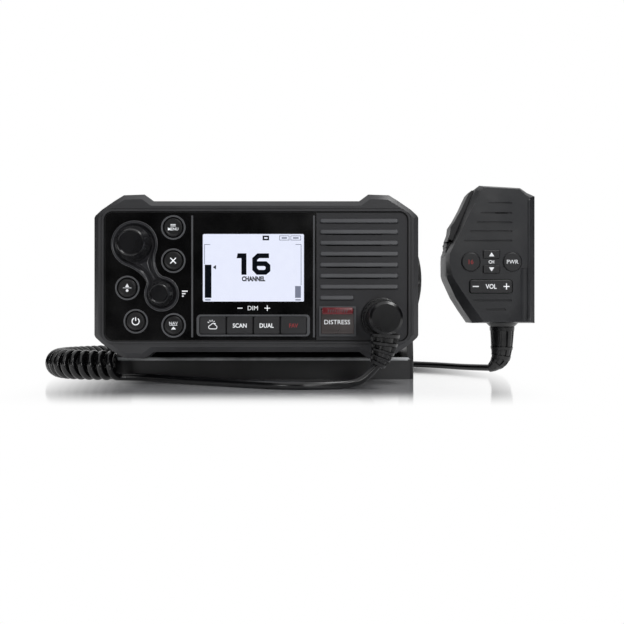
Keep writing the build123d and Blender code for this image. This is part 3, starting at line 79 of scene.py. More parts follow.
# ---- Studio ----------------------------------------------------------------------------------
# A polished white table in an even white surround, with soft lamps and a camera that stands low in front.
# Dark cloths give the black faces something dark to mirror.


def shade(code):
    """Linear colour of an sRGB hex code. A step v becomes v / 12.92 near black, and everywhere else
    ((v + 0.055) / 1.055) ^ 2.4."""
    steps = np.array([int(code[i : i + 2], 16) for i in (1, 3, 5)]) / 255
    linear = np.where(steps <= 0.04045, steps / 12.92, ((steps + 0.055) / 1.055) ** 2.4)
    return (*linear.tolist(), 1.0)


def wire(tree, kind, sockets=(), **settings):
    """Adds a node, gives it its settings, and links each named socket or sets its value."""
    node = tree.nodes.new(kind)
    for name, value in settings.items():
        setattr(node, name, value)
    for name, value in dict(sockets).items():
        if isinstance(value, bpy.types.NodeSocket):
            tree.links.new(value, node.inputs[name])
        else:
            node.inputs[name].default_value = value
    return node


camera_data = bpy.data.cameras.new("low_front_camera")
camera_data.sensor_width = 36
camera_data.lens = 51.08
camera_data.shift_y = -2 / 624  # two rows of a picture that is 624 rows high
camera = bpy.data.objects.new("low_front_camera", camera_data)
camera.location = (0.0316, -0.568, 0.042)
camera.rotation_euler = (math.pi / 2, 0, 0)
bpy.context.scene.collection.objects.link(camera)
bpy.context.scene.camera = camera
bpy.context.scene.view_settings.view_transform = "Standard"


def reckon(tree, operation, *values):
    """What a math node makes of sockets or plain values."""
    return wire(tree, "ShaderNodeMath", dict(enumerate(values)), operation=operation).outputs[0]


def looked_at(tree):
    """1 for rays from the camera, off a mirroring face or through clear plastic, and 0 for all others."""
    ray = wire(tree, "ShaderNodeLightPath").outputs
    seen = reckon(tree, "MAXIMUM", ray["Is Camera Ray"], ray["Is Glossy Ray"])
    return reckon(tree, "MAXIMUM", seen, ray["Is Transmission Ray"])


surround = bpy.data.worlds.new("white_surround")
surround.use_nodes = True
bpy.context.scene.world = surround
tree = surround.node_tree
tree.nodes.clear()
fill = wire(tree, "ShaderNodeBackground", {"Color": shade("#f2f4f7"), "Strength": 0.3})
white = wire(tree, "ShaderNodeBackground", {"Color": shade("#ffffff"), "Strength": 1.0})
both = wire(tree, "ShaderNodeMixShader", {0: looked_at(tree), 1: fill.outputs[0], 2: white.outputs[0]})
wire(tree, "ShaderNodeOutputWorld", {"Surface": both.outputs[0]})


def softbox(name, place, aim, width, height, watts):
    """A flat lamp of width by height metres at place, square on to the line towards aim."""
    light = bpy.data.lights.new(name, "AREA")
    light.shape = "RECTANGLE"
    light.size, light.size_y = width, height
    light.energy = watts
    lamp = bpy.data.objects.new(name, light)
    lamp.location = place
    lamp.rotation_euler = (Vector(aim) - Vector(place)).to_track_quat("-Z", "Y").to_euler()
    bpy.context.scene.collection.objects.link(lamp)


softbox("overhead_lamp", (0.5, -0.05, 1.05), (0, 0, 0.05), 0.48, 0.36, 4.8)
softbox("left_lamp", (-1.05, -0.95, 0.38), (0, 0, 0.05), 0.3, 0.6, 0.5)
softbox("low_left_lamp", (-0.60, -0.95, 0.07), (0, 0, 0.03), 0.22, 0.12, 0.8)
softbox("front_right_lamp", (0.36, -1.3, 0.37), (0.03, -0.06, 0.06), 0.34, 0.34, 2.3)
softbox("high_right_lamp", (0.6, -0.95, 1.0), (0, -0.06, 0.06), 0.24, 0.24, 1.9)


def meshed(name, points, faces):
    """A new object with these points, in metres, and these faces."""
    mesh = bpy.data.meshes.new(name)
    mesh.from_pydata(points, [], faces)
    piece = bpy.data.objects.new(name, mesh)
    bpy.context.scene.collection.objects.link(piece)
    return piece


def flat_panel(name, corners, finish):
    """One four-cornered face of the stage."""
    panel = meshed(name, corners, [(0, 1, 2, 3)])
    panel.data.materials.append(finish)
    return panel


def fading(tree, value, low, high):
    """0 at low and beyond, 1 at high and beyond, and an even S-curve between. Either may be the larger."""
    limits = {"Value": value, "From Min": low, "From Max": high}
    return wire(tree, "ShaderNodeMapRange", limits, interpolation_type="SMOOTHSTEP").outputs["Result"]


def surface(name, **settings):
    """A material with its node tree and its surface node, whose inputs are set by name."""
    material = bpy.data.materials.new(name)
    material.use_nodes = True
    face = material.node_tree.nodes["Principled BSDF"]
    for socket, value in settings.items():
        face.inputs[socket.replace("_", " ")].default_value = value
    return material, material.node_tree, face


# The polish shows round the radio, and further out the white of the table takes over, as under a studio
# lamp. The polished patch has its middle at X 0.015, and each of its sides fades out between two limits.
polish, tree, top = surface(
    "white_polished_table",
    Base_Color=shade("#ececee"),
    Roughness=0.09,
    IOR=1.5,
    Coat_Weight=0.8,
    Coat_Roughness=0.09,
)
spot = wire(tree, "ShaderNodeTexCoord").outputs["Object"]
spot = wire(tree, "ShaderNodeSeparateXYZ", {0: spot}).outputs
aside = reckon(tree, "ABSOLUTE", reckon(tree, "SUBTRACT", spot["X"], 0.015))
near = reckon(tree, "MULTIPLY", fading(tree, spot["Y"], -0.185, -0.11), fading(tree, aside, 0.15, 0.075))
near = reckon(tree, "MULTIPLY", near, fading(tree, spot["Y"], 0.30, 0.12))
far = reckon(tree, "SUBTRACT", 1.0, near)
white_part = reckon(tree, "MULTIPLY", looked_at(tree), far)
glow = wire(tree, "ShaderNodeEmission", {"Color": shade("#ffffff"), "Strength": 1.0})
total = wire(tree, "ShaderNodeMixShader", {0: white_part, 1: top.outputs[0], 2: glow.outputs[0]})
tree.links.new(total.outputs[0], tree.nodes["Material Output"].inputs["Surface"])
flat_panel("white_table", [(-6, -6, 0), (6, -6, 0), (6, 6, 0), (-6, 6, 0)], polish)

# Only mirroring faces see the cloths.
velvet, _, face = surface("black_velvet_cloth", Base_Color=shade("#0c0c0c"), Roughness=1.0)
face.inputs["Specular IOR Level"].default_value = 0.0
for name, corners in (
    ("front_cloth", [(-2.2, -2.6, -0.2), (2.2, -2.6, -0.2), (2.2, -2.6, 1.5), (-2.2, -2.6, 1.5)]),
    ("low_cloth", [(-2.2, -2.6, 0.002), (2.2, -2.6, 0.002), (2.2, -0.2, 0.002), (-2.2, -0.2, 0.002)]),
    ("left_cloth", [(-1.0, -1.2, 0.0), (-1.0, 1.1, 0.0), (-1.0, 1.1, 1.3), (-1.0, -1.2, 1.3)]),
    ("right_cloth", [(1.1, -1.2, 0.0), (1.1, 1.1, 0.0), (1.1, 1.1, 1.3), (1.1, -1.2, 1.3)]),
):
    cloth = flat_panel(name, corners, velvet)
    for kind in ("camera", "diffuse", "transmission", "shadow"):
        setattr(cloth, "visible_" + kind, False)


# ---- Cord ------------------------------------------------------------------------------------
# One round cable in a black PVC jacket runs from the plug over the table, winds into a curl that goes round
# behind the bracket, and leaves it for the microphone. The curl is set by heat over a mandrel.

cord_d = 4.4
curl_r = 6.8  # from the curl's middle to the cable's middle
curl_pitch = 5.7
curl_rest_pitch = 4.7
cable_z, curl_z = 2.25, 9.05  # the cable's and the curl's middle above the table, where they lie on it
lead_lying = (
    [(51.0, -96.0), (38.0, -101.0), (20.0, -103.5), (-1.0, -92.5), (-22.0, -78.0)]
    + [(-42.0, -65.5), (-57.0, -52.0), (-68.5, -43.35), (-83.0, -41.32)]
)
curl_lying = (
    [(-83.0, -41.32), (-111.0, -37.4), (-128.5, -14.0), (-126.5, 14.0), (-108.0, 42.0)]
    + [(-82.0, 68.0), (-45.0, 86.0), (0.0, 93.0), (48.0, 93.0)]
)
mic_lying = [(48.0, 93.0), (67.0, 93.0), (88.0, 89.5), (107.0, 81.5), (124.0, 67.5), (135.0, 52.0)]
lead_route = [(66.5, -93.0, 12.5), (60.6, -93.8, 5.2)] + [(x, y, cable_z) for x, y in lead_lying]
curl_route = [(x, y, curl_z) for x, y in curl_lying]
mic_route = [(x, y, cable_z) for x, y in mic_lying] + [(143.5, 40.0, 2.6), (152.4, 31.0, 2.95)]


def read_out(name, curve):
    """The points and faces that a curve or a text gives as a mesh."""
    holder = bpy.data.objects.new(name, curve)
    bpy.context.scene.collection.objects.link(holder)
    bpy.context.view_layer.update()
    flat = bpy.data.meshes.new_from_object(holder.evaluated_get(bpy.context.evaluated_depsgraph_get()))
    points = np.empty(len(flat.vertices) * 3)
    flat.vertices.foreach_get("co", points)
    faces = [list(p.vertices) for p in flat.polygons]
    bpy.data.objects.remove(holder)
    bpy.data.meshes.remove(flat)
    return points.reshape(-1, 3), faces


def smooth_line(name, route, step):
    """Points `step` mm apart on the smooth line that a route's points pull on, read from a NURBS curve."""
    curve = bpy.data.curves.new(name, "CURVE")
    curve.dimensions = "3D"
    curve.resolution_u = 32
    line = curve.splines.new("NURBS")
    line.points.add(len(route) - 1)
    line.points.foreach_set("co", np.c_[np.array(route), np.ones(len(route))].ravel())
    line.order_u = 3
    line.use_endpoint_u = True
    read = read_out(name, curve)[0]
    run = np.r_[0, np.cumsum(np.linalg.norm(np.diff(read, axis=0), axis=1))]
    even = np.linspace(0, run[-1], max(2, round(run[-1] / step) + 1))
    return np.stack([np.interp(even, run, read[:, i]) for i in range(3)], axis=1)


def unit(vectors):
    """Each row of vectors divided by its length."""
    return vectors / np.linalg.norm(vectors, axis=1, keepdims=True)


def wound(axis, radius, pitch, rest_pitch, per_turn, ease):
    """A right-handed helix round the axis points. Its angle starts straight down and grows by 2 pi per
    pitch, more slowly within `ease` mm of each end, and is stretched a little to end straight down as well.
    Between 50 and 65 percent of the way the pitch closes to rest_pitch."""
    run = np.r_[0, np.cumsum(np.linalg.norm(np.diff(axis, axis=0), axis=1))]
    closing = np.clip((run / run[-1] - 0.5) / 0.15, 0, 1)
    rate = np.clip(np.minimum(run, run[-1] - run) / ease, 0, 1) / (pitch + (rest_pitch - pitch) * closing)
    turned = np.r_[0, np.cumsum((rate[1:] + rate[:-1]) / 2 * np.diff(run))]
    turns = round(turned[-1])
    turned *= turns / turned[-1]
    wanted = np.linspace(0, turns, turns * per_turn + 1)
    place = np.interp(wanted, turned, run)
    middle = np.stack([np.interp(place, run, axis[:, i]) for i in range(3)], axis=1)
    ahead = unit(np.gradient(middle, axis=0))
    upward = np.array([[0.0, 0.0, 1.0]])
    aside = unit(np.cross(upward, ahead))
    turn = (wanted * 2 * math.pi - math.pi / 2)[:, None]
    outward = np.cos(turn) * aside + np.sin(turn) * upward
    return middle + radius * outward, outward


def woven(name, points, ends=True, flip=False, closed=True):
    """A smooth skin over a grid of points, rows x columns x 3 in mm: four-sided faces between neighbouring
    rows. A closed one joins its last column to the first, has a face over each end where `ends` says so, and
    breaks at edges over 40 degrees."""
    rows, columns = points.shape[:2]
    index = np.arange(rows * columns).reshape(rows, columns)
    if closed:
        index = np.hstack([index, index[:, :1]])
    faces = np.stack([index[:-1, :-1], index[:-1, 1:], index[1:, 1:], index[1:, :-1]], axis=-1)
    faces = faces.reshape(-1, 4)
    faces = (faces[:, ::-1] if flip else faces).tolist()
    if ends:
        first, last = index[0, :-1].tolist(), index[-1, :-1].tolist()
        faces += [first, last[::-1]] if flip else [first[::-1], last]
    piece = meshed(name, (points.reshape(-1, 3) / 1000).tolist(), faces)
    piece.data.shade_smooth()
    if closed:
        piece.data.set_sharp_from_angle(angle=math.radians(40))
    return piece


def piped(name, line, outward, radius, sides):
    """A round tube: ring i is line[i] + radius * (cos a * n + sin a * b), where n is the outward direction
    made square to the line and b is square to both."""
    ahead = unit(np.gradient(line, axis=0))
    across = unit(outward - np.sum(outward * ahead, axis=1, keepdims=True) * ahead)
    beside = np.cross(ahead, across)
    a = np.linspace(0, 2 * math.pi, sides, endpoint=False)[None, :, None]
    rings = line[:, None] + radius * (np.cos(a) * across[:, None] + np.sin(a) * beside[:, None])
    return woven(name, rings)


def noise(tree, scale, detail):
    """Noise fixed to the object, with so many cells to a metre."""
    place = wire(tree, "ShaderNodeTexCoord").outputs["Object"]
    sockets = {"Vector": place, "Scale": scale, "Detail": detail}
    return wire(tree, "ShaderNodeTexNoise", sockets).outputs["Fac"]


def moved(tree, value, colour, ends, shares):
    """A colour times the first share where value is at the first end, and times the second at the second."""
    blend = wire(tree, "ShaderNodeValToRGB", {"Fac": value})
    base = np.array(shade(colour)[:3])
    for stop, position, share in zip(blend.color_ramp.elements, ends, shares):
        stop.position = position
        stop.color = (*np.clip(base * share, 0, 1).tolist(), 1.0)
    return blend.outputs["Color"]


def moulded(name, colour, roughness, grain, relief, drift=0.14, bite=0.07, patch=18.0, **skin):
    """A moulded, cast or coated skin. Fine noise `grain` mm wide is its bump, `relief` mm deep. Slow noise
    `patch` mm wide moves its colour by the share `drift` and its roughness by `bite`."""
    material, tree, face = surface(name, **skin)
    slow, fine = noise(tree, 1000 / patch, 4.0), noise(tree, 1000 / grain, 2.0)
    tint = moved(tree, slow, colour, (0.3, 0.7), (1 - drift, 1 + drift))
    gloss = wire(
        tree,
        "ShaderNodeMapRange",
        {"Value": slow, 1: 0.3, 2: 0.7, 3: max(roughness - bite, 0.02), 4: roughness + bite},
    )
    bump = wire(tree, "ShaderNodeBump", {"Height": fine, "Distance": relief / 1000, "Strength": 1.0})
    tree.links.new(tint, face.inputs["Base Color"])
    tree.links.new(gloss.outputs["Result"], face.inputs["Roughness"])
    tree.links.new(bump.outputs["Normal"], face.inputs["Normal"])
    return material


# The jacket is extruded, so it is smooth and a little glossy, with faint waves along it.
cord_pvc = moulded("extruded_black_pvc", "#0e0e10", 0.22, grain=1.6, relief=0.012)
lead_line = smooth_line("lead_line", lead_route, 1.4)
curl_axis = smooth_line("curl_axis", curl_route, 0.5)
mic_line = smooth_line("mic_line", mic_route, 1.4)
curl_line, curl_out = wound(curl_axis, curl_r, curl_pitch, curl_rest_pitch, per_turn=28, ease=4.0)
down = np.array([[0.0, 0.0, -1.0]])
cord_line = np.vstack([lead_line, curl_line[1:], mic_line[1:]])
cord_out = np.vstack([down.repeat(len(lead_line), 0), curl_out[1:], down.repeat(len(mic_line) - 1, 0)])
cord = piped("cord", cord_line, cord_out, cord_d / 2, sides=16)
cord.data.materials.append(cord_pvc)
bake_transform(cord)
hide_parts("cord_plug_lead", "cord_curl", "cord_mic_lead")
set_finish(cord, "cord")


# ---- Bracket ---------------------------------------------------------------------------------
# The U is blanked and folded from 4 mm steel sheet and powder coated black. Its base is screwed to the
# shelf through four holes, and its two arms carry the set at the clamp screws.


def welded(work):
    """Merges the doubled points of a bmesh and joins the facets of its flat faces."""
    bmesh.ops.remove_doubles(work, verts=work.verts, dist=2e-6)
    bmesh.ops.dissolve_limit(work, angle_limit=math.radians(0.4), verts=work.verts, edges=work.edges)


def dressed(node, finish, edge=0.0, angle=32):
    """A copy of a solid with its doubled points merged and its flat facets joined, whose sharp edges a
    bevel of `edge` mm breaks. It rides and stands where the solid does."""
    source = frame["nodes"][node]
    work = bmesh.new()
    work.from_mesh(source.data)
    welded(work)
    mesh = bpy.data.meshes.new(node + "_dressed")
    work.to_mesh(mesh)
    work.free()
    if "custom_normal" in mesh.attributes:
        mesh.attributes.remove(mesh.attributes["custom_normal"])
    mesh.shade_smooth()
    mesh.set_sharp_from_angle(angle=math.radians(angle))
    mesh.materials.clear()
    mesh.materials.append(finish)
    piece = bpy.data.objects.new(node + "_dressed", mesh)
    bpy.context.scene.collection.objects.link(piece)
    if edge:
        bevel = piece.modifiers.new("broken_edges", "BEVEL")
        bevel.width = edge / 1000
        bevel.segments = 2
        bevel.limit_method = "ANGLE"
        bevel.angle_limit = math.radians(angle)
        bevel.harden_normals = True
        bevel.use_clamp_overlap = True
    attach(piece, source["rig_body"])
    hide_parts(node)
    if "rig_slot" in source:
        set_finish(piece, source["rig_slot"])
    return piece


# Powder coat melts into a fine orange peel, so its highlights break up.
powder_coat = moulded("black_powder_coat", "#1b1b1d", 0.42, grain=0.9, relief=0.03, bite=0.05)
dressed("bracket", powder_coat, 0.35)


def barred(name, start, end, across, beside, ring, tip, steps=7):
    """A straight bar with domed ends. Its ring of points, in units of two directions square to it, stands all
    along from start to end, and within `tip` mm of either end it shrinks by sqrt(1 - e^2), e from 0 to 1."""
    start, end, ring = np.array(start), np.array(end), np.array(ring)
    length = np.linalg.norm(end - start)
    e = np.sin(np.linspace(0.0, 0.499, steps) * math.pi)[::-1]
    place = np.r_[tip * (1 - e), length - tip * (1 - e[::-1])]
    size = np.sqrt(1 - np.r_[e, e[::-1]] ** 2)
    section = ring[:, :1] * np.array(across) + ring[:, 1:] * np.array(beside)
    points = start + place[:, None, None] * ((end - start) / length) + size[:, None, None] * section[None]
    return woven(name, points)


def round_ring(r, columns=20):
    """Points of a circle, for a bar's ring."""
    a = np.linspace(0, 2 * math.pi, columns, endpoint=False)
    return r * np.c_[np.cos(a), np.sin(a)]


def placed(piece, finish, body, slot):
    """Gives a new piece its finish, the body that it rides on and its slot."""
    piece.data.materials.append(finish)
    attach(piece, body)
    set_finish(piece, slot)
    return piece


# The front lip's edge is hemmed over, and its pale grey is a painted highlight: the bright line that light
# draws along the hem, given to it as colour. The rear lip's edge is folded forward under the case.
hem_highlight_grey = moulded("painted_highlight_grey", "#c0c2c4", 0.45, grain=0.6, relief=0.01, drift=0.3, patch=9.0)
folded_ring = (
    [(1.5, -0.5), (1.4, 0.6), (0.6, 1.3), (-7.6, 3.1), (-8.2, 2.7), (-8.0, 2.1)]
    + [(-0.6, 0.0), (0.0, -0.8)]
)
for name, y, z, ring, finish in (
    ("front_hem", -29.5, 11.7, round_ring(1.55), hem_highlight_grey),
    ("rear_hem", 29.5, 12.0, folded_ring, powder_coat),
):
    hem = barred(name, (-91, y, z), (91, y, z), (0, 1, 0), (0, 0, 1), ring, tip=1.5)
    placed(hem, finish, "bracket", "bracket")


# ---- Clamp screws ----------------------------------------------------------------------------
# A scalloped knob of glass-filled nylon is moulded over a steel stud and pulls the arm against the set. A
# soft rubber washer between knob and arm stops it from working loose.

# Glass-filled nylon comes out of the tool dull, with a spark-eroded grain.
knob_nylon = moulded("black_glass_filled_nylon", "#1a1a1b", 0.5, grain=0.35, relief=0.02)
washer_rubber = moulded("black_washer_rubber", "#141414", 0.7, grain=0.3, relief=0.015)
for side in ("left", "right"):
    dressed(side + "_clamp_knob", knob_nylon, 0.4)
    dressed(side + "_clamp_washer", washer_rubber, 0.2)


# ---- Rear case -------------------------------------------------------------------------------
# The case is an aluminium die casting with cooling fins, painted black. A rubber gasket lies between it and
# the front, screws hold the two together, and brass inserts in its side bosses take the clamp screws.

# Paint over a casting keeps the slight ripple of the die.
cast_paint = moulded("painted_die_casting", "#1c1c1e", 0.45, grain=1.2, relief=0.05)
gasket_rubber = moulded("black_gasket_rubber", "#121212", 0.7, grain=0.4, relief=0.02)
turned_brass = moulded("turned_brass", "#c9a45c", 0.28, grain=0.2, relief=0.006, Metallic=1.0)
screw_steel = moulded("blackened_screw_steel", "#4a4a4d", 0.35, grain=0.3, relief=0.008, Metallic=1.0)
dressed("rear_case", cast_paint, 0.4)


def coat(finish, *nodes):
    """Gives solids that keep their own shape a finish, in their own material slots."""
    for node in nodes:
        solid = frame["nodes"][node]
        if not solid.material_slots:
            solid.data.materials.append(finish)
        for place in solid.material_slots:
            place.material = finish


coat(gasket_rubber, "case_gasket")
coat(turned_brass, "pivot_inserts")
coat(screw_steel, "case_screws")


# ---- Front bezel -----------------------------------------------------------------------------
# The front's frame is moulded in grey-black polycarbonate with a fine matt texture. Its four raised lugs
# hold the screws, and a thin lip runs round the opening.

# The texture is etched in the tool, so the frame looks softly grey where light grazes it.
bezel_plastic = moulded("matt_polycarbonate", "#3a3a3c", 0.48, grain=0.3, relief=0.02)
dressed("front_bezel", bezel_plastic, 0.15)


# ---- Front panel -----------------------------------------------------------------------------
# One glossy black moulding carries the display, the keys and the dials. Its rings and dividers are printed
# a paler grey, and a satin edge slopes in to the floor of the well round the two dials.

# The tool is polished, so the face mirrors the dark cloths; only slow waves break it.
panel_gloss = moulded("polished_black_acrylic", "#070708", 0.21, grain=6.0, relief=0.01, bite=0.05)
ring_plastic = moulded("grey_ring_print", "#5a5b5e", 0.5, grain=0.25, relief=0.01)
well_plastic = moulded("satin_grey_plastic", "#3c3c3f", 0.2, grain=0.3, relief=0.006, bite=0.04)
panel_y = -66.8
level = 0.05  # faces nearer than this to the panel's plane lie in it
panel = dressed("front_panel", panel_gloss, 0.12)
panel.data.materials.append(ring_plastic)
panel.data.materials.append(well_plastic)
dials = {"channel": (-68.9, 79.4, 12.0), "volume": (-53.5, 51.1, 8.7)}
channel_arc, volume_arc = (-20, 250), (155, 440)  # degrees of each dial's arc that the well's edge follows
middles = np.empty(len(panel.data.polygons) * 3)
panel.data.polygons.foreach_get("center", middles)
middles = middles.reshape(-1, 3) * 1000
raised = middles[:, 1] < panel_y - level
near = np.zeros(len(middles), bool)
for x, z, r in dials.values():
    near |= np.hypot(middles[:, 0] - x, middles[:, 2] - z) < r + 1.0
sunk = near & (middles[:, 1] > panel_y + level) & (middles[:, 1] < panel_y + 2.2)
panel.data.polygons.foreach_set("material_index", np.where(raised, 1, np.where(sunk, 2, 0)))


def hermite(start, way_out, end, way_in, count):
    """Points of the cubic from start to end that leaves along way_out and arrives along way_in, each as
    long as the chord: h00 p0 + h10 m0 + h01 p1 + h11 m1."""
    t = np.linspace(0, 1, count)[:, None]
    start, end = np.array(start), np.array(end)
    reach = np.linalg.norm(end - start)
    leave, arrive = np.array(way_out) * reach, np.array(way_in) * reach
    return (
        (2 * t**3 - 3 * t**2 + 1) * start
        + (t**3 - 2 * t**2 + t) * leave
        + (3 * t**2 - 2 * t**3) * end
        + (t**3 - t**2) * arrive
    )


def round_arc(x, z, r, first, last, count):
    """Points of a circle's arc from one angle in degrees up to another, which is left out."""
    a = np.radians(np.linspace(first, last, count, endpoint=False))
    return np.c_[x + r * np.cos(a), z + r * np.sin(a)]


def on_edge(dial, angle):
    """The point of a dial's arc at an angle in degrees, and the way that the arc runs there."""
    x, z, r = dials[dial]
    c, s = math.cos(math.radians(angle)), math.sin(math.radians(angle))
    return (x + r * c, z + r * s), (-s, c)


def waist_sides(count):
    """The two sides of the waist between the dials, which leave the dials' arcs along their tangents: the
    left side runs down and the right side runs up."""
    left = hermite(*on_edge("channel", channel_arc[1]), *on_edge("volume", volume_arc[0]), count)
    right = hermite(*on_edge("volume", volume_arc[1] - 360), *on_edge("channel", channel_arc[0]), count)
    return left, right


def well_outline():
    """The well's edge, anticlockwise: an arc round each dial between the two sides of the waist."""
    left, right = waist_sides(28)
    low = round_arc(*dials["volume"], *volume_arc, 70)
    high = round_arc(*dials["channel"], *channel_arc, 80)
    return np.vstack([left[:-1], low, right[:-1], high])


def carried(name, outline, profile):
    """A skin round a closed outline in the front's plane: every outline point moves in along its own normal
    by the profile's first number, at the depth of its second."""
    along = unit(np.roll(outline, -1, 0) - np.roll(outline, 1, 0))
    inward = np.c_[-along[:, 1], along[:, 0]]
    inset, depth = np.array(profile)[:, 0], np.array(profile)[:, 1]
    flat = outline[None] + inset[:, None, None] * inward[None]
    points = np.stack([flat[..., 0], np.broadcast_to(depth[:, None], flat.shape[:2]), flat[..., 1]], axis=-1)
    return woven(name, points, ends=False)


well = carried(
    "dial_well",
    well_outline(),
    [(-1.2, -66.7), (-1.2, -67.15), (-1.0, -67.33), (-0.7, -67.4), (-0.3, -67.34), (0.1, -67.14)]
    + [(0.6, -66.74), (0.95, -66.27), (1.15, -65.76), (1.3, -65.36), (1.4, -65.0), (1.45, -64.6)],
)
placed(well, well_plastic, "radio", "panel")

# A black bead of sealant closes the joint between the panel and the bezel's opening.
seal_rubber = moulded("black_sealant_bead", "#09090a", 0.6, grain=0.4, relief=0.01)
seal_corners = ((81.1, 92.8, 0), (-81.1, 92.8, 90), (-81.1, 29.2, 180), (81.1, 29.2, 270))
seal_outline = np.vstack([round_arc(x, z, 5, first, first + 90, 12) for x, z, first in seal_corners])
seal_profile = [(0.02, -66.5), (0.1, -66.95), (0.4, -67.1), (0.7, -66.95), (0.8, -66.5)]
placed(carried("panel_seal", seal_outline, seal_profile), seal_rubber, "radio", "panel")


saddle_rise, saddle_inset, saddle_foot = 1.3, 2.5, -64.78
channel_clear, volume_clear = 10.4, 7.6  # the saddle ends this far from the dials' middles
fade_run = 1.6


def soft_step(value, low, high):
    """0 below low, 1 above high, and 3 t^2 - 2 t^3 between."""
    t = np.clip((value - low) / (high - low), 0, 1)
    return t * t * (3 - 2 * t)


def saddle(rows, columns):
    """A low bridge along the waist. Its rows run between the waist's two sides, each moved in by the inset;
    its rise is (1 - s^6) across, for s from -1 to 1, and dies away with distance towards either dial."""
    (bx, bz, _), (sx, sz, _) = dials["channel"], dials["volume"]
    left, right = waist_sides(rows)
    sides = []
    for line, sign in ((left, 1), (right[::-1], -1)):
        ahead = unit(np.gradient(line, axis=0))
        sides.append(line + sign * saddle_inset * np.c_[-ahead[:, 1], ahead[:, 0]])
    s = np.sin(np.linspace(-0.5, 0.5, columns) * math.pi)
    share = (s[None, :, None] + 1) / 2
    flat = sides[0][:, None] * (1 - share) + sides[1][:, None] * share
    big = np.hypot(flat[..., 0] - bx, flat[..., 1] - bz) - channel_clear
    small = np.hypot(flat[..., 0] - sx, flat[..., 1] - sz) - volume_clear
    rise = saddle_rise * (1 - s[None, :] ** 6) * soft_step(np.minimum(big, small), 0, fade_run)
    return np.stack([flat[..., 0], saddle_foot - rise, flat[..., 1]], axis=-1)


bridge = woven("dial_saddle", saddle(40, 25), ends=False, closed=False)
placed(bridge, well_plastic, "radio", "panel")


# ---- Display ---------------------------------------------------------------------------------
# A backlit liquid-crystal module sits behind a clear acrylic window. It shows the calling channel, a level
# bar on each side and a few status tags, dark on a cool white light.

# Clear acrylic, polished on both faces.
window_acrylic, tree, face = surface(
    "clear_acrylic", Base_Color=shade("#fbfcff"), Transmission_Weight=1.0, IOR=1.49
)
smears = {"Value": noise(tree, 60.0, 4.0), 1: 0.35, 2: 0.75, 3: 0.0, 4: 0.035}
gloss = wire(tree, "ShaderNodeMapRange", smears)
tree.links.new(gloss.outputs["Result"], face.inputs["Roughness"])
coat(window_acrylic, "lcd_window")


def lit(name, colour, strength, grain):
    """A lit face of the display: its colour is given off, and fine noise moves it by a few percent."""
    material, tree, face = surface(
        name,
        Base_Color=shade("#060606"),
        Emission_Strength=strength,
        Roughness=0.6,
        Specular_IOR_Level=0.0,
    )
    tint = moved(tree, noise(tree, 1000 / grain, 2.0), colour, (0.0, 1.0), (0.97, 1.03))
    tree.links.new(tint, face.inputs["Emission Color"])
    return material


def stroke(points, width, closed=False):
    """A band along a line of points, mitred: each point steps to both sides along its half-way normal by
    half the width over the cosine of half its turn. Gives points and four-sided faces."""
    p = np.array(points, float)
    before = np.roll(p, 1, 0) if closed else np.vstack([2 * p[0] - p[1], p[:-1]])
    after = np.roll(p, -1, 0) if closed else np.vstack([p[1:], 2 * p[-1] - p[-2]])
    into, out = unit(p - before), unit(after - p)
    middle = unit(into + out)
    normal = np.c_[-middle[:, 1], middle[:, 0]]
    reach = width / 2 / np.maximum(np.sum(middle * out, axis=1), 0.3)
    left, right = p + normal * reach[:, None], p - normal * reach[:, None]
    n = len(p)
    pairs = np.arange(n if closed else n - 1)
    nxt = (pairs + 1) % n
    return np.vstack([left, right]), np.stack([pairs, pairs + n, nxt + n, nxt], axis=1).tolist()


def plate(points):
    """A filled outline, its points anticlockwise."""
    return np.array(points, float), [list(range(len(points)))]


def block(x0, z0, x1, z1):
    """A filled rectangle between two opposite corners."""
    return plate([(x0, z0), (x1, z0), (x1, z1), (x0, z1)])


def words(text, height, x, z, wide=1.0, weight=0.0):
    """Letters as flat faces, `height` mm tall and centred on x, z; wide stretches them sideways, and weight
    thickens their strokes."""
    curve = bpy.data.curves.new("letters", "FONT")
    curve.body = text
    curve.offset = weight
    curve.resolution_u = 3
    points, faces = read_out("letters", curve)
    points = points[:, :2]
    low, high = points.min(0), points.max(0)
    size = height / (high[1] - low[1])
    return (points - (low + high) / 2) * (size * wide, size) + (x, z), faces


def printed(name, shapes, depth, body, finish, slot):
    """Ink or light shapes laid on the front at one depth: each shape is points in X and Z and faces, and
    together they are one mesh that faces forward."""
    points, faces, count = [], [], 0
    for spots, sides in shapes:
        points.append(spots)
        faces += [[i + count for i in side] for side in sides]
        count += len(spots)
    flat = np.vstack(points)
    spread = np.c_[flat[:, 0], np.full(count, depth), flat[:, 1]] / 1000
    placed(meshed(name, spread.tolist(), faces), finish, body, slot)


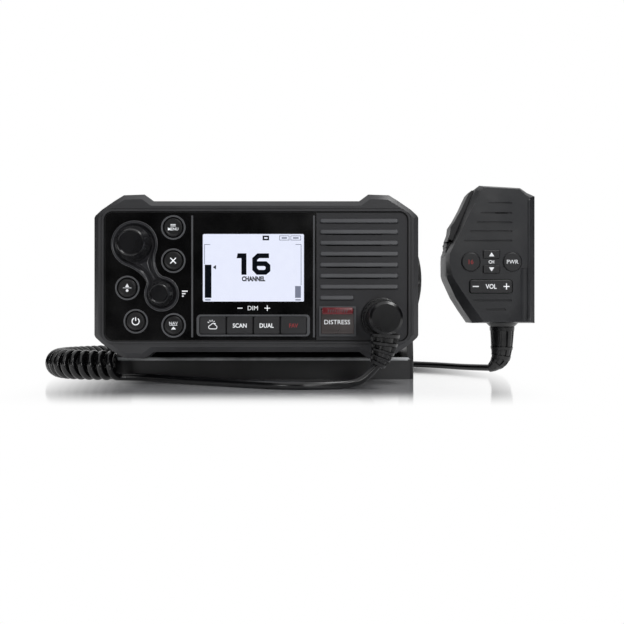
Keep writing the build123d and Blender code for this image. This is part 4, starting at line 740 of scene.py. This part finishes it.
lcd_y = -64.6
crystal_y = lcd_y - 0.09  # the segments stand in front of their light
lcd_light = lit("cool_white_backlight", "#e9edfe", strength=1.05, grain=3.0)
lcd_dark = lit("dark_liquid_crystal", "#0a0e14", strength=1.0, grain=2.0)
lcd_grey = lit("half_dark_liquid_crystal", "#7d8294", strength=1.0, grain=2.0)
printed("display_light", [block(-30.2, 46.8, 27.0, 85.0)], lcd_y - 0.05, "radio", lcd_light, "display")
printed(
    "display_digits",
    [
        block(-8.5, 62.0, -5.6, 74.2),
        plate([(-11.2, 71.4), (-8.5, 71.4), (-8.5, 74.2), (-10.6, 74.2)]),
        stroke(
            [(7.2, 72.8), (1.1, 72.8), (-0.95, 70.9), (-0.95, 65.2), (0.8, 63.4), (5.1, 63.4), (6.6, 64.7)]
            + [(6.6, 67.0), (5.2, 68.3), (-0.6, 68.3)],
            2.75,
        ),
        words("CHANNEL", 2.9, -1.6, 59.7, wide=0.78, weight=0.05),
        block(-29.3, 48.9, -25.5, 67.7),
        plate([(-24.6, 66.3), (-22.9, 65.0), (-22.9, 67.6)]),
        stroke([(4.0, 82.0), (6.8, 82.0), (6.8, 83.8), (4.0, 83.8)], 0.9, closed=True),
    ],
    crystal_y,
    "radio",
    lcd_dark,
    "display",
)
printed(
    "display_bars",
    [
        block(22.0, 48.9, 25.3, 55.6),
        stroke([(22.2, 79.2), (25.4, 79.2), (25.4, 56.0)], 0.35),
        stroke([(-26.2, 79.2), (-29.4, 79.2), (-29.4, 68.0)], 0.35),
        stroke([(13.2, 81.7), (18.6, 81.7), (18.6, 84.1), (13.2, 84.1)], 0.34, closed=True),
        stroke([(19.6, 81.7), (25.2, 81.7), (25.2, 84.1), (19.6, 84.1)], 0.34, closed=True),
        block(14.4, 82.5, 17.4, 83.3),
        block(20.8, 82.5, 24.0, 83.3),
        block(-29.0, 47.4, -26.0, 48.1),
        block(22.2, 47.4, 25.2, 48.1),
    ],
    crystal_y,
    "radio",
    lcd_grey,
    "display",
)
display_frame = moulded("black_module_frame", "#101012", 0.5, grain=0.4, relief=0.01)
coat(display_frame, "lcd_module")


# ---- Dials -----------------------------------------------------------------------------------
# Two moulded knobs turn and push their encoders. Each has a gripped skirt and a shallow dish in its face
# for a fingertip, and is pressed onto a steel shaft.

# The knobs come from a lightly blasted tool: satin, with a soft sheen on their rounded edges.
dial_plastic = moulded("satin_dial_plastic", "#202022", 0.22, grain=0.3, relief=0.012)
ground_steel = moulded("ground_steel", "#9a9da1", 0.25, grain=0.15, relief=0.004, Metallic=1.0)
for knob in ("channel_knob", "volume_knob"):
    dressed(knob, dial_plastic, 0.0)
coat(ground_steel, "channel_shaft", "volume_shaft")


# ---- Round keys ------------------------------------------------------------------------------
# Five silicone keys stand in rings in the panel, each with a white sign: menu, clear, targets, power and
# route. The signs are laser-etched through a dark coat, so light shines through them at night.

# Silicone with a hard top coat: grey-black and dull.
key_silicone = moulded("coated_silicone", "#2c2c2e", 0.5, grain=0.25, relief=0.012)
round_silicone = moulded("dark_coated_silicone", "#111113", 0.42, grain=0.25, relief=0.012)
# White sign ink that also gives off light of its own, a painted glow: every white sign here, on keys, panel,
# cover and microphone, reads brighter than the lamps make it.
glowing_white_sign = moulded(
    "white_sign_painted_glow",
    "#e8eaec",
    0.55,
    grain=0.3,
    relief=0.004,
    drift=0.04,
    Emission_Color=shade("#eef0f2"),
    Emission_Strength=0.45,
)
key_face = -67.5
ink_lift = 0.03  # how far a sign stands off its face
round_keys = {
    "key_menu": (-46.9, 88.7),
    "key_cancel": (-46.9, 69.9),
    "key_ais": (-72.9, 54.5),
    "key_power": (-68.1, 35.6),
    "key_nav": (-46.7, 33.3),
}


def signs_for(key, x, z):
    """The shapes printed on one round key."""
    if key == "key_menu":
        return [
            words("MENU", 1.6, x, z - 0.9, weight=0.015),
            block(x - 1.5, z + 0.6, x + 1.5, z + 1.0),
            block(x - 1.5, z + 1.4, x + 1.5, z + 1.8),
        ]
    if key == "key_cancel":
        return [
            stroke([(x - 1.6, z - 1.6), (x + 1.6, z + 1.6)], 0.62),
            stroke([(x - 1.6, z + 1.6), (x + 1.6, z - 1.6)], 0.62),
        ]
    if key == "key_ais":
        return [
            block(x - 2.4, z - 0.12, x + 2.4, z + 0.12),
            plate([(x - 1.1, z + 0.5), (x + 1.1, z + 0.5), (x, z + 2.5)]),
            plate(round_arc(x, z - 1.5, 0.75, 0, 360, 28)),
        ]
    if key == "key_power":
        return [
            stroke(round_arc(x, z, 2.0, 118, 422, 26), 0.62),
            block(x - 0.3, z + 0.2, x + 0.3, z + 2.3),
        ]
    return [
        words("NAV", 1.7, x, z + 1.2),
        block(x - 2.2, z - 0.1, x + 2.2, z + 0.14),
        plate([(x - 1.4, z - 2.3), (x + 1.4, z - 2.3), (x, z - 0.7)]),
    ]


# A round bead runs along each key's rim and leaves its middle dished for a fingertip.
bead_r = 5.1
key_bead = [(3.9, -67.45), (4.05, -67.6), (4.35, -67.76), (4.65, -67.78), (4.95, -67.66), (5.1, -67.45)]
for key, (x, z) in round_keys.items():
    dressed(key, round_silicone, 0.0)
    rim = round_arc(x, z, bead_r, 0, 360, 48)
    bead = carried(key + "_bead", rim, [(bead_r - r, y) for r, y in key_bead])
    placed(bead, round_silicone, key, "key")
    printed(key + "_sign", signs_for(key, x, z), key_face - ink_lift, key, glowing_white_sign, "key")


# ---- Function keys ---------------------------------------------------------------------------
# Four keys under the display share one raised frame. They are moulded in one silicone mat, whose caps carry
# a weather sign, two white words and one dim red word.

ink_red = moulded("red_key_sign", "#a8383a", 0.55, grain=0.3, relief=0.004, drift=0.05)
function_x = [-24.525, -9.275, 5.975, 21.225]


def weather_sign(x, z):
    """A small sun with five rays behind a cloud's outline."""
    a = np.radians(np.array([150, 115, 80, 45, 10]))
    rays = [
        stroke([(x - 0.7 + 1.5 * c, z + 0.7 + 1.5 * s), (x - 0.7 + 2.5 * c, z + 0.7 + 2.5 * s)], 0.4)
        for c, s in zip(np.cos(a), np.sin(a))
    ]
    cloud = np.vstack(
        [
            round_arc(x - 1.3, z - 1.0, 1.0, 100, 270, 8),
            round_arc(x + 1.4, z - 1.0, 1.0, 270, 440, 8),
            round_arc(x + 0.2, z - 0.2, 1.3, 20, 160, 8),
        ]
    )
    return rays + [stroke(cloud, 0.42, closed=True)]


legends = {
    "key_weather": weather_sign(function_x[0], 33.3),
    "key_scan": [words("SCAN", 2.5, function_x[1], 33.2, wide=0.92, weight=0.02)],
    "key_triple": [words("DUAL", 2.5, function_x[2], 33.2, wide=0.92, weight=0.02)],
    "key_sound": [words("FAV", 2.3, function_x[3], 33.2, wide=0.92, weight=0.02)],
}
for key, shapes in legends.items():
    dressed(key, key_silicone, 0.0)
    ink = ink_red if key == "key_sound" else glowing_white_sign
    printed(key + "_sign", shapes, key_face - ink_lift, key, ink, "key")

printed(
    "panel_signs",
    [
        words("DIM", 2.4, -1.9, 43.1),
        block(-10.60, 42.8, -7.70, 43.3),
        block(4.70, 42.8, 7.90, 43.3),
        block(6.05, 41.5, 6.55, 44.6),
        block(-42.00, 52.3, -38.80, 53),
        block(-42.00, 50.9, -40.00, 51.6),
        block(-42.00, 49.5, -41.00, 50.2),
    ],
    panel_y - ink_lift,
    "radio",
    glowing_white_sign,
    "panel",
)


# ---- Speaker grille --------------------------------------------------------------------------
# The right part of the front is a separate moulding, matt grey-black like the bezel. Seven long ribs and a
# short one stand over its sound slots, and a cone loudspeaker is screwed behind it.

grille_plastic = moulded("matt_grille_plastic", "#303033", 0.5, grain=0.3, relief=0.02)
# The grille plastic in a paler grey: a painted highlight for the ribs and the key frame's front, which face
# the light.
highlight_grey_plastic = moulded("painted_highlight_grille_plastic", "#525356", 0.4, grain=0.4, relief=0.01)
cone_paper = moulded("doped_cone_paper", "#1a1917", 0.75, grain=0.8, relief=0.05)
basket_steel = moulded("zinc_plated_basket", "#a9abad", 0.3, grain=0.5, relief=0.01, Metallic=1.0)
grille = dressed("speaker_grille", grille_plastic, 0.15)

# The solid's own ribs are laid flat, and the front of its key frame is left paler, in the grille's painted
# highlight grey.
rib_rise, key_frame_rise = 1.0, 2.4
work = bmesh.new()
work.from_mesh(grille.data)
for corner in work.verts:
    if abs(corner.co.y * 1000 - panel_y + rib_rise) < 0.1:
        corner.co.y = panel_y / 1000
welded(work)
work.to_mesh(grille.data)
work.free()
grille.data.materials.append(highlight_grey_plastic)
depth = np.array([face.center.y for face in grille.data.polygons]) * 1000
grille.data.polygons.foreach_set("material_index", (depth < panel_y - key_frame_rise + level).astype(int))

# Each rib is a louvre: it rises from the dark groove above it towards its lower edge, so its face looks up.
# Its paler grey is a painted highlight.
louvre = (
    [(0.5, 1.25), (-0.05, 1.2), (-0.35, 1.05), (-0.75, -0.2), (-0.95, -0.75), (-0.95, -1.0)]
    + [(-0.7, -1.15), (0.5, -1.2)]
)
rib_top, rib_step, rib_left, rib_right, short_right = 92.5, 6.22, 36.1, 80.4, 55.3
for i in range(8):
    z = rib_top - rib_step * i
    ends = (rib_left, panel_y, z), (short_right if i == 7 else rib_right, panel_y, z)
    rib = barred(f"grille_rib_{i + 1}", *ends, (0, 1, 0), (0, 0, 1), louvre, tip=1.2)
    placed(rib, highlight_grey_plastic, "radio", "grille")
coat(cone_paper, "speaker_cone")
coat(basket_steel, "speaker_frame")


# ---- Distress key ----------------------------------------------------------------------------
# A sprung cover of tinted red polycarbonate lifts off the red call key. Its top is ribbed to be found by
# touch, its middle carries the word in white, and its lower edge is lipped for a fingertip.

# Deeply tinted plastic: light sinks in, and little of it comes back, brown and red.
cover_red = moulded(
    "tinted_red_polycarbonate",
    "#2f201e",
    0.32,
    grain=0.5,
    relief=0.01,
    drift=0.2,
    Transmission_Weight=0.15,
    IOR=1.58,
)
cover_grip = moulded(
    "bright_red_polycarbonate", "#7a2a30", 0.24, grain=0.8, relief=0.02, drift=0.25, patch=5.0
)
key_red = moulded("red_key_silicone", "#b3262a", 0.5, grain=0.3, relief=0.015)
# Black for the painted shadow under the cover's lip.
lip_shadow_paint = moulded("painted_lip_shadow", "#0b0908", 0.6, grain=0.4, relief=0.01)
dressed("distress_cover", cover_red, 0.2)
coat(key_red, "distress_key")
cover_x, cover_y = 46.0, -69.2
grip_ends = (37.2, cover_y + 0.25, 41.5), (54.8, cover_y + 0.25, 41.5)
grip_ring = [(0.2, 2.1), (-0.35, 1.9), (-0.5, 1.2), (-0.5, -1.4), (-0.35, -1.9), (0.2, -2.1)]
grip = barred("cover_grip_band", *grip_ends, (0, 1, 0), (0, 0, 1), grip_ring, tip=0.6)
placed(grip, cover_grip, "distress_cover", "cover")
# The grip's ridges are not shaped: pale grey strokes laid flat on it are their painted highlights.
ridge_highlights = [stroke([(x, 40.6), (x + 0.5, 42.2)], 0.45) for x in np.linspace(40.6, 51.0, 9)]
printed("cover_grip_ridge_highlights", ridge_highlights, cover_y - 0.28, "distress_cover", ring_plastic, "cover")
cover_ink = [words("DISTRESS", 2.5, 45.8, 35.2, wide=1.02)]
printed("cover_word", cover_ink, cover_y - ink_lift, "distress_cover", glowing_white_sign, "cover")

# The lip's edge is half a cosine wave that bows down in the middle, and the black stroke along it is painted
# shadow, the shade in the gap under the lip.
lip_wide = 14.8
lip_x = np.linspace(38.6, 53.4, 13)
lip_line = np.c_[lip_x, 30.1 - 0.9 * np.cos((lip_x - cover_x) / lip_wide * math.pi)]
printed("cover_lip_shadow_line", [stroke(lip_line, 0.5)], cover_y - ink_lift, "distress_cover", lip_shadow_paint, "cover")


# ---- Microphone socket and plug --------------------------------------------------------------
# The socket is a round flange in the front. A right-angled plug of black PVC is held in it by a knurled
# ring, and its ribbed strain relief turns the cable down to the table.

plug_pvc = moulded("moulded_black_pvc", "#0e0e10", 0.3, grain=0.35, relief=0.012)
relief_pvc = moulded("soft_black_pvc", "#101012", 0.3, grain=0.3, relief=0.012)
ring_nylon = moulded("knurled_black_nylon", "#141416", 0.4, grain=0.3, relief=0.012)
dressed("mic_socket", ring_nylon, 0.25)
dressed("plug_ring", ring_nylon, 0.15)
dressed("plug_body", plug_pvc, 0.3)


def ribbed_relief(name, middle, core, collar, rings, bars, columns=72):
    """A strain relief along a line. Its radius is the core's, raised to the collar's within each ring (a start
    and an end in mm along the line) and within each bar (an angle and a half width in degrees)."""
    run = np.r_[0, np.cumsum(np.linalg.norm(np.diff(middle, axis=0), axis=1))]
    share = run / run[-1]
    a = np.linspace(0, 360, columns, endpoint=False)
    soft_mm, soft_degrees, bar_share = 0.2, 3, 0.85
    lift = np.zeros(len(run))
    for first, last in rings:
        begun = soft_step(run, first - soft_mm, first + soft_mm)
        lift = np.maximum(lift, begun * (1 - soft_step(run, last - soft_mm, last + soft_mm)))
    bar = np.zeros(columns)
    for angle, half in bars:
        off = np.abs((a - angle + 180) % 360 - 180)
        bar = np.maximum(bar, 1 - soft_step(off, half - soft_degrees, half + soft_degrees))
    rise = np.maximum(lift[:, None], bar_share * bar[None, :] * (run < rings[-1][0])[:, None])
    inner = np.interp(share, *zip(*core))[:, None]
    outer = np.interp(share, *zip(*collar))[:, None]
    radius = inner + (outer - inner) * rise
    ahead = unit(np.gradient(middle, axis=0))
    side = unit(np.cross(ahead, np.array([[0.0, 1.0, 0.0]])))
    back = np.cross(ahead, side)
    turn = np.radians(a)[None, :, None]
    outward = np.cos(turn) * side[:, None] + np.sin(turn) * back[:, None]
    return woven(name, middle[:, None] + radius[..., None] * outward)


plug_line = smooth_line(
    "plug_relief_line",
    [(70.7, -93.0, 29.6), (70.4, -93.0, 24.6), (69.3, -93.05, 18.4), (66.5, -93.0, 12.5)],
    step=0.2,
)
plug_relief = ribbed_relief(
    "plug_relief",
    plug_line,
    [(0, 5.9), (0.35, 4.6), (0.7, 3.9), (1, 2.7)],
    [(0, 8.3), (0.35, 7.3), (0.7, 5.9), (1, 4.3)],
    [(0.4, 2.4), (5.0, 6.8), (9.2, 10.8), (12.9, 14.2), (15.9, 18.0)],
    [(0, 16), (180, 16)],
)
placed(plug_relief, relief_pvc, "radio", "plug")


# ---- Microphone ------------------------------------------------------------------------------
# The fist microphone is two shells of matt grey-black ABS, screwed together from behind. Grooves run across
# its face, the talk lever lies in its slanted left side, and its rubber keys stand just proud.

mic_abs = moulded("matt_abs_shell", "#28292c", 0.46, grain=0.3, relief=0.02)
mic_rubber = moulded("black_mic_key_rubber", "#262628", 0.5, grain=0.3, relief=0.015)
for shell in ("mic_front_shell", "mic_rear_shell"):
    dressed(shell, mic_abs, 0.2)
dressed("mic_ptt", mic_rubber, 0.2)
for key in ("mic_key_16", "mic_key_level", "mic_key_up", "mic_key_down", "mic_volume_rocker"):
    dressed(key, mic_rubber, 0.0)
coat(mic_rubber, "mic_hang_stud")

# A rounded ridge closes the face off on the right, beside the scoop for the fingers.
ridge_ends = (173.4, 10.75, 35.6), (173.4, 10.75, 114.6)
ridge = barred("mic_side_ridge", *ridge_ends, (1, 0, 0), (0, 1, 0), round_ring(1.25), tip=1.2)
placed(ridge, mic_abs, "bracket", "mic_shell")

# Below the lever's tip a rubber bellows leads on to the shell's shoulder.
side_top, side_foot = np.array([139.4, 122.1]), np.array([124.6, 86.9])
side_down = unit((side_foot - side_top)[None])[0]
side_in = np.array([-side_down[1], side_down[0]])


def bellows(first, last, high, low, inner, wave, rings, columns=28):
    """A rippled pad on the slanted side. At each place along it the ring is a rounded rectangle, |c|^0.5
    steep, from `inner` out to a height that falls from high to low and ripples by 0.2 mm every `wave` mm."""
    along = np.linspace(first, last, rings)[:, None]
    fall = (along - first) / (last - first)
    out = high + (low - high) * fall + 0.2 * np.cos((along - first) / wave * 2 * math.pi)
    a = np.linspace(0, 2 * math.pi, columns, endpoint=False)[None]
    square = lambda v: np.sign(v) * np.abs(v) ** 0.5
    inward = (inner - out) / 2 + (inner + out) / 2 * square(np.cos(a))
    depth = np.broadcast_to(28.0 + 8.2 * square(np.sin(a)), inward.shape)
    flat = side_top + along[..., None] * side_down + inward[..., None] * side_in
    return np.stack([flat[..., 0], depth, flat[..., 1]], axis=-1)


pad = bellows(39.9, 48.6, high=3.3, low=0.9, inner=0.8, wave=2.6, rings=34)
placed(woven("lever_bellows", pad, flip=True), mic_rubber, "bracket", "mic_shell")

# Behind the lever a rubber wall carries the outline on past its tip.
wall_y = 38.5
wall_start = side_top + 41.6 * side_down - 0.9 * side_in
wall_end = side_top + 35.6 * side_down - 0.6 * side_in
wall = barred(
    "lever_wall",
    (wall_start[0], wall_y, wall_start[1]),
    (wall_end[0], wall_y, wall_end[1]),
    (0, 1, 0),
    (side_in[0], 0, side_in[1]),
    round_ring(1.0) * (1.0, 2.0),
    tip=0.8,
)
placed(wall, mic_rubber, "bracket", "mic_shell")
coat(screw_steel, "mic_screws")

# The signs are placed from the bottom right corner of the shell's outline.
mic_key_face, mic_u, mic_v = 9.2, 181.4, 33.4
mic_signs = {
    "mic_key_16": [words("16", 3.0, mic_u - 46.1, mic_v + 40.0, weight=0.02)],
    "mic_key_level": [words("PWR", 2.6, mic_u - 19.0, mic_v + 40.0, wide=0.95)],
    "mic_key_up": [
        plate([(mic_u - 34.4, mic_v + 43.6), (mic_u - 31.0, mic_v + 43.6), (mic_u - 32.7, mic_v + 46.2)])
    ],
    "mic_key_down": [
        plate([(mic_u - 34.4, mic_v + 36.4), (mic_u - 32.7, mic_v + 33.8), (mic_u - 31.0, mic_v + 36.4)])
    ],
    "mic_volume_rocker": [
        words("VOL", 3.2, mic_u - 33.0, mic_v + 23.95, wide=0.85, weight=0.02),
        block(mic_u - 45.0, mic_v + 23.6, mic_u - 41.0, mic_v + 24.3),
        block(mic_u - 25.0, mic_v + 23.6, mic_u - 21.0, mic_v + 24.3),
        block(mic_u - 23.35, mic_v + 21.95, mic_u - 22.65, mic_v + 25.95),
    ],
}
for key, shapes in mic_signs.items():
    ink = ink_red if key == "mic_key_16" else glowing_white_sign
    printed(key + "_sign", shapes, mic_key_face - ink_lift, key, ink, "key")
channel_word = [words("CH", 2.2, mic_u - 32.7, mic_v + 40.0, wide=0.9, weight=0.02)]
printed("mic_channel_word", channel_word, 9.97, "bracket", glowing_white_sign, "mic_shell")

dressed("mic_boot", relief_pvc, 0.0)
mic_relief_line = smooth_line(
    "mic_relief_line",
    [(159.5, 28.0, 31.0), (159.5, 28.0, 15.0), (158.0, 28.4, 7.0), (152.4, 31.0, 2.95)],
    0.2,
)
mic_relief = ribbed_relief(
    "mic_relief",
    mic_relief_line,
    [(0, 6.6), (0.5, 5.2), (0.75, 4.2), (1, 2.6)],
    [(0, 8.3), (0.45, 7.4), (0.75, 6.1), (1, 3.0)],
    [(0.4, 3.0), (13.4, 15.6), (19.2, 21.4), (24.8, 27.0), (30.0, 31.0)],
    [(0, 15), (60, 15), (120, 15), (180, 15), (240, 15), (300, 15)],
)
placed(mic_relief, relief_pvc, "bracket", "gland")


# ---- Rear connectors -------------------------------------------------------------------------
# On the back stand a nickel-plated antenna socket, a gold-plated one for positioning, a keyed network
# socket and a cable gland for power.

nickel = moulded("bright_nickel_plate", "#c9cbcc", 0.16, grain=0.3, relief=0.004, Metallic=1.0)
gold = moulded("gold_plate", "#d8b25a", 0.2, grain=0.2, relief=0.004, Metallic=1.0)
dressed("antenna_socket", nickel, 0.0)
dressed("gps_socket", gold, 0.0)
dressed("network_socket", knob_nylon, 0.2)
dressed("power_gland", knob_nylon, 0.2)


# ---- Inside ----------------------------------------------------------------------------------
# Behind the panel lie the key mat, the front board with its encoders and a ribbon to the main board. The
# main board carries the shielded transmitter, and the microphone has a board and a capsule of its own.

solder_mask = moulded("green_solder_mask", "#1f5a38", 0.35, grain=1.2, relief=0.03, drift=0.3, patch=4.0)
mat_silicone = moulded("key_mat_silicone", "#5c5e62", 0.6, grain=0.4, relief=0.02)
tin_shield = moulded("tinned_shield", "#b9bbbd", 0.3, grain=2.0, relief=0.02, Metallic=1.0)
ribbon_film = moulded("polyimide_ribbon", "#b4702a", 0.3, grain=1.0, relief=0.01, patch=2.0)
encoder_shell = moulded("stamped_encoder_shell", "#a0a2a4", 0.35, grain=0.4, relief=0.01, Metallic=1.0)
coat(solder_mask, "front_board", "main_board", "mic_board")
coat(mat_silicone, "keypad_mat")
coat(tin_shield, "rf_shield")
coat(ribbon_film, "board_ribbon")
coat(encoder_shell, "encoders")
coat(knob_nylon, "mic_capsule")
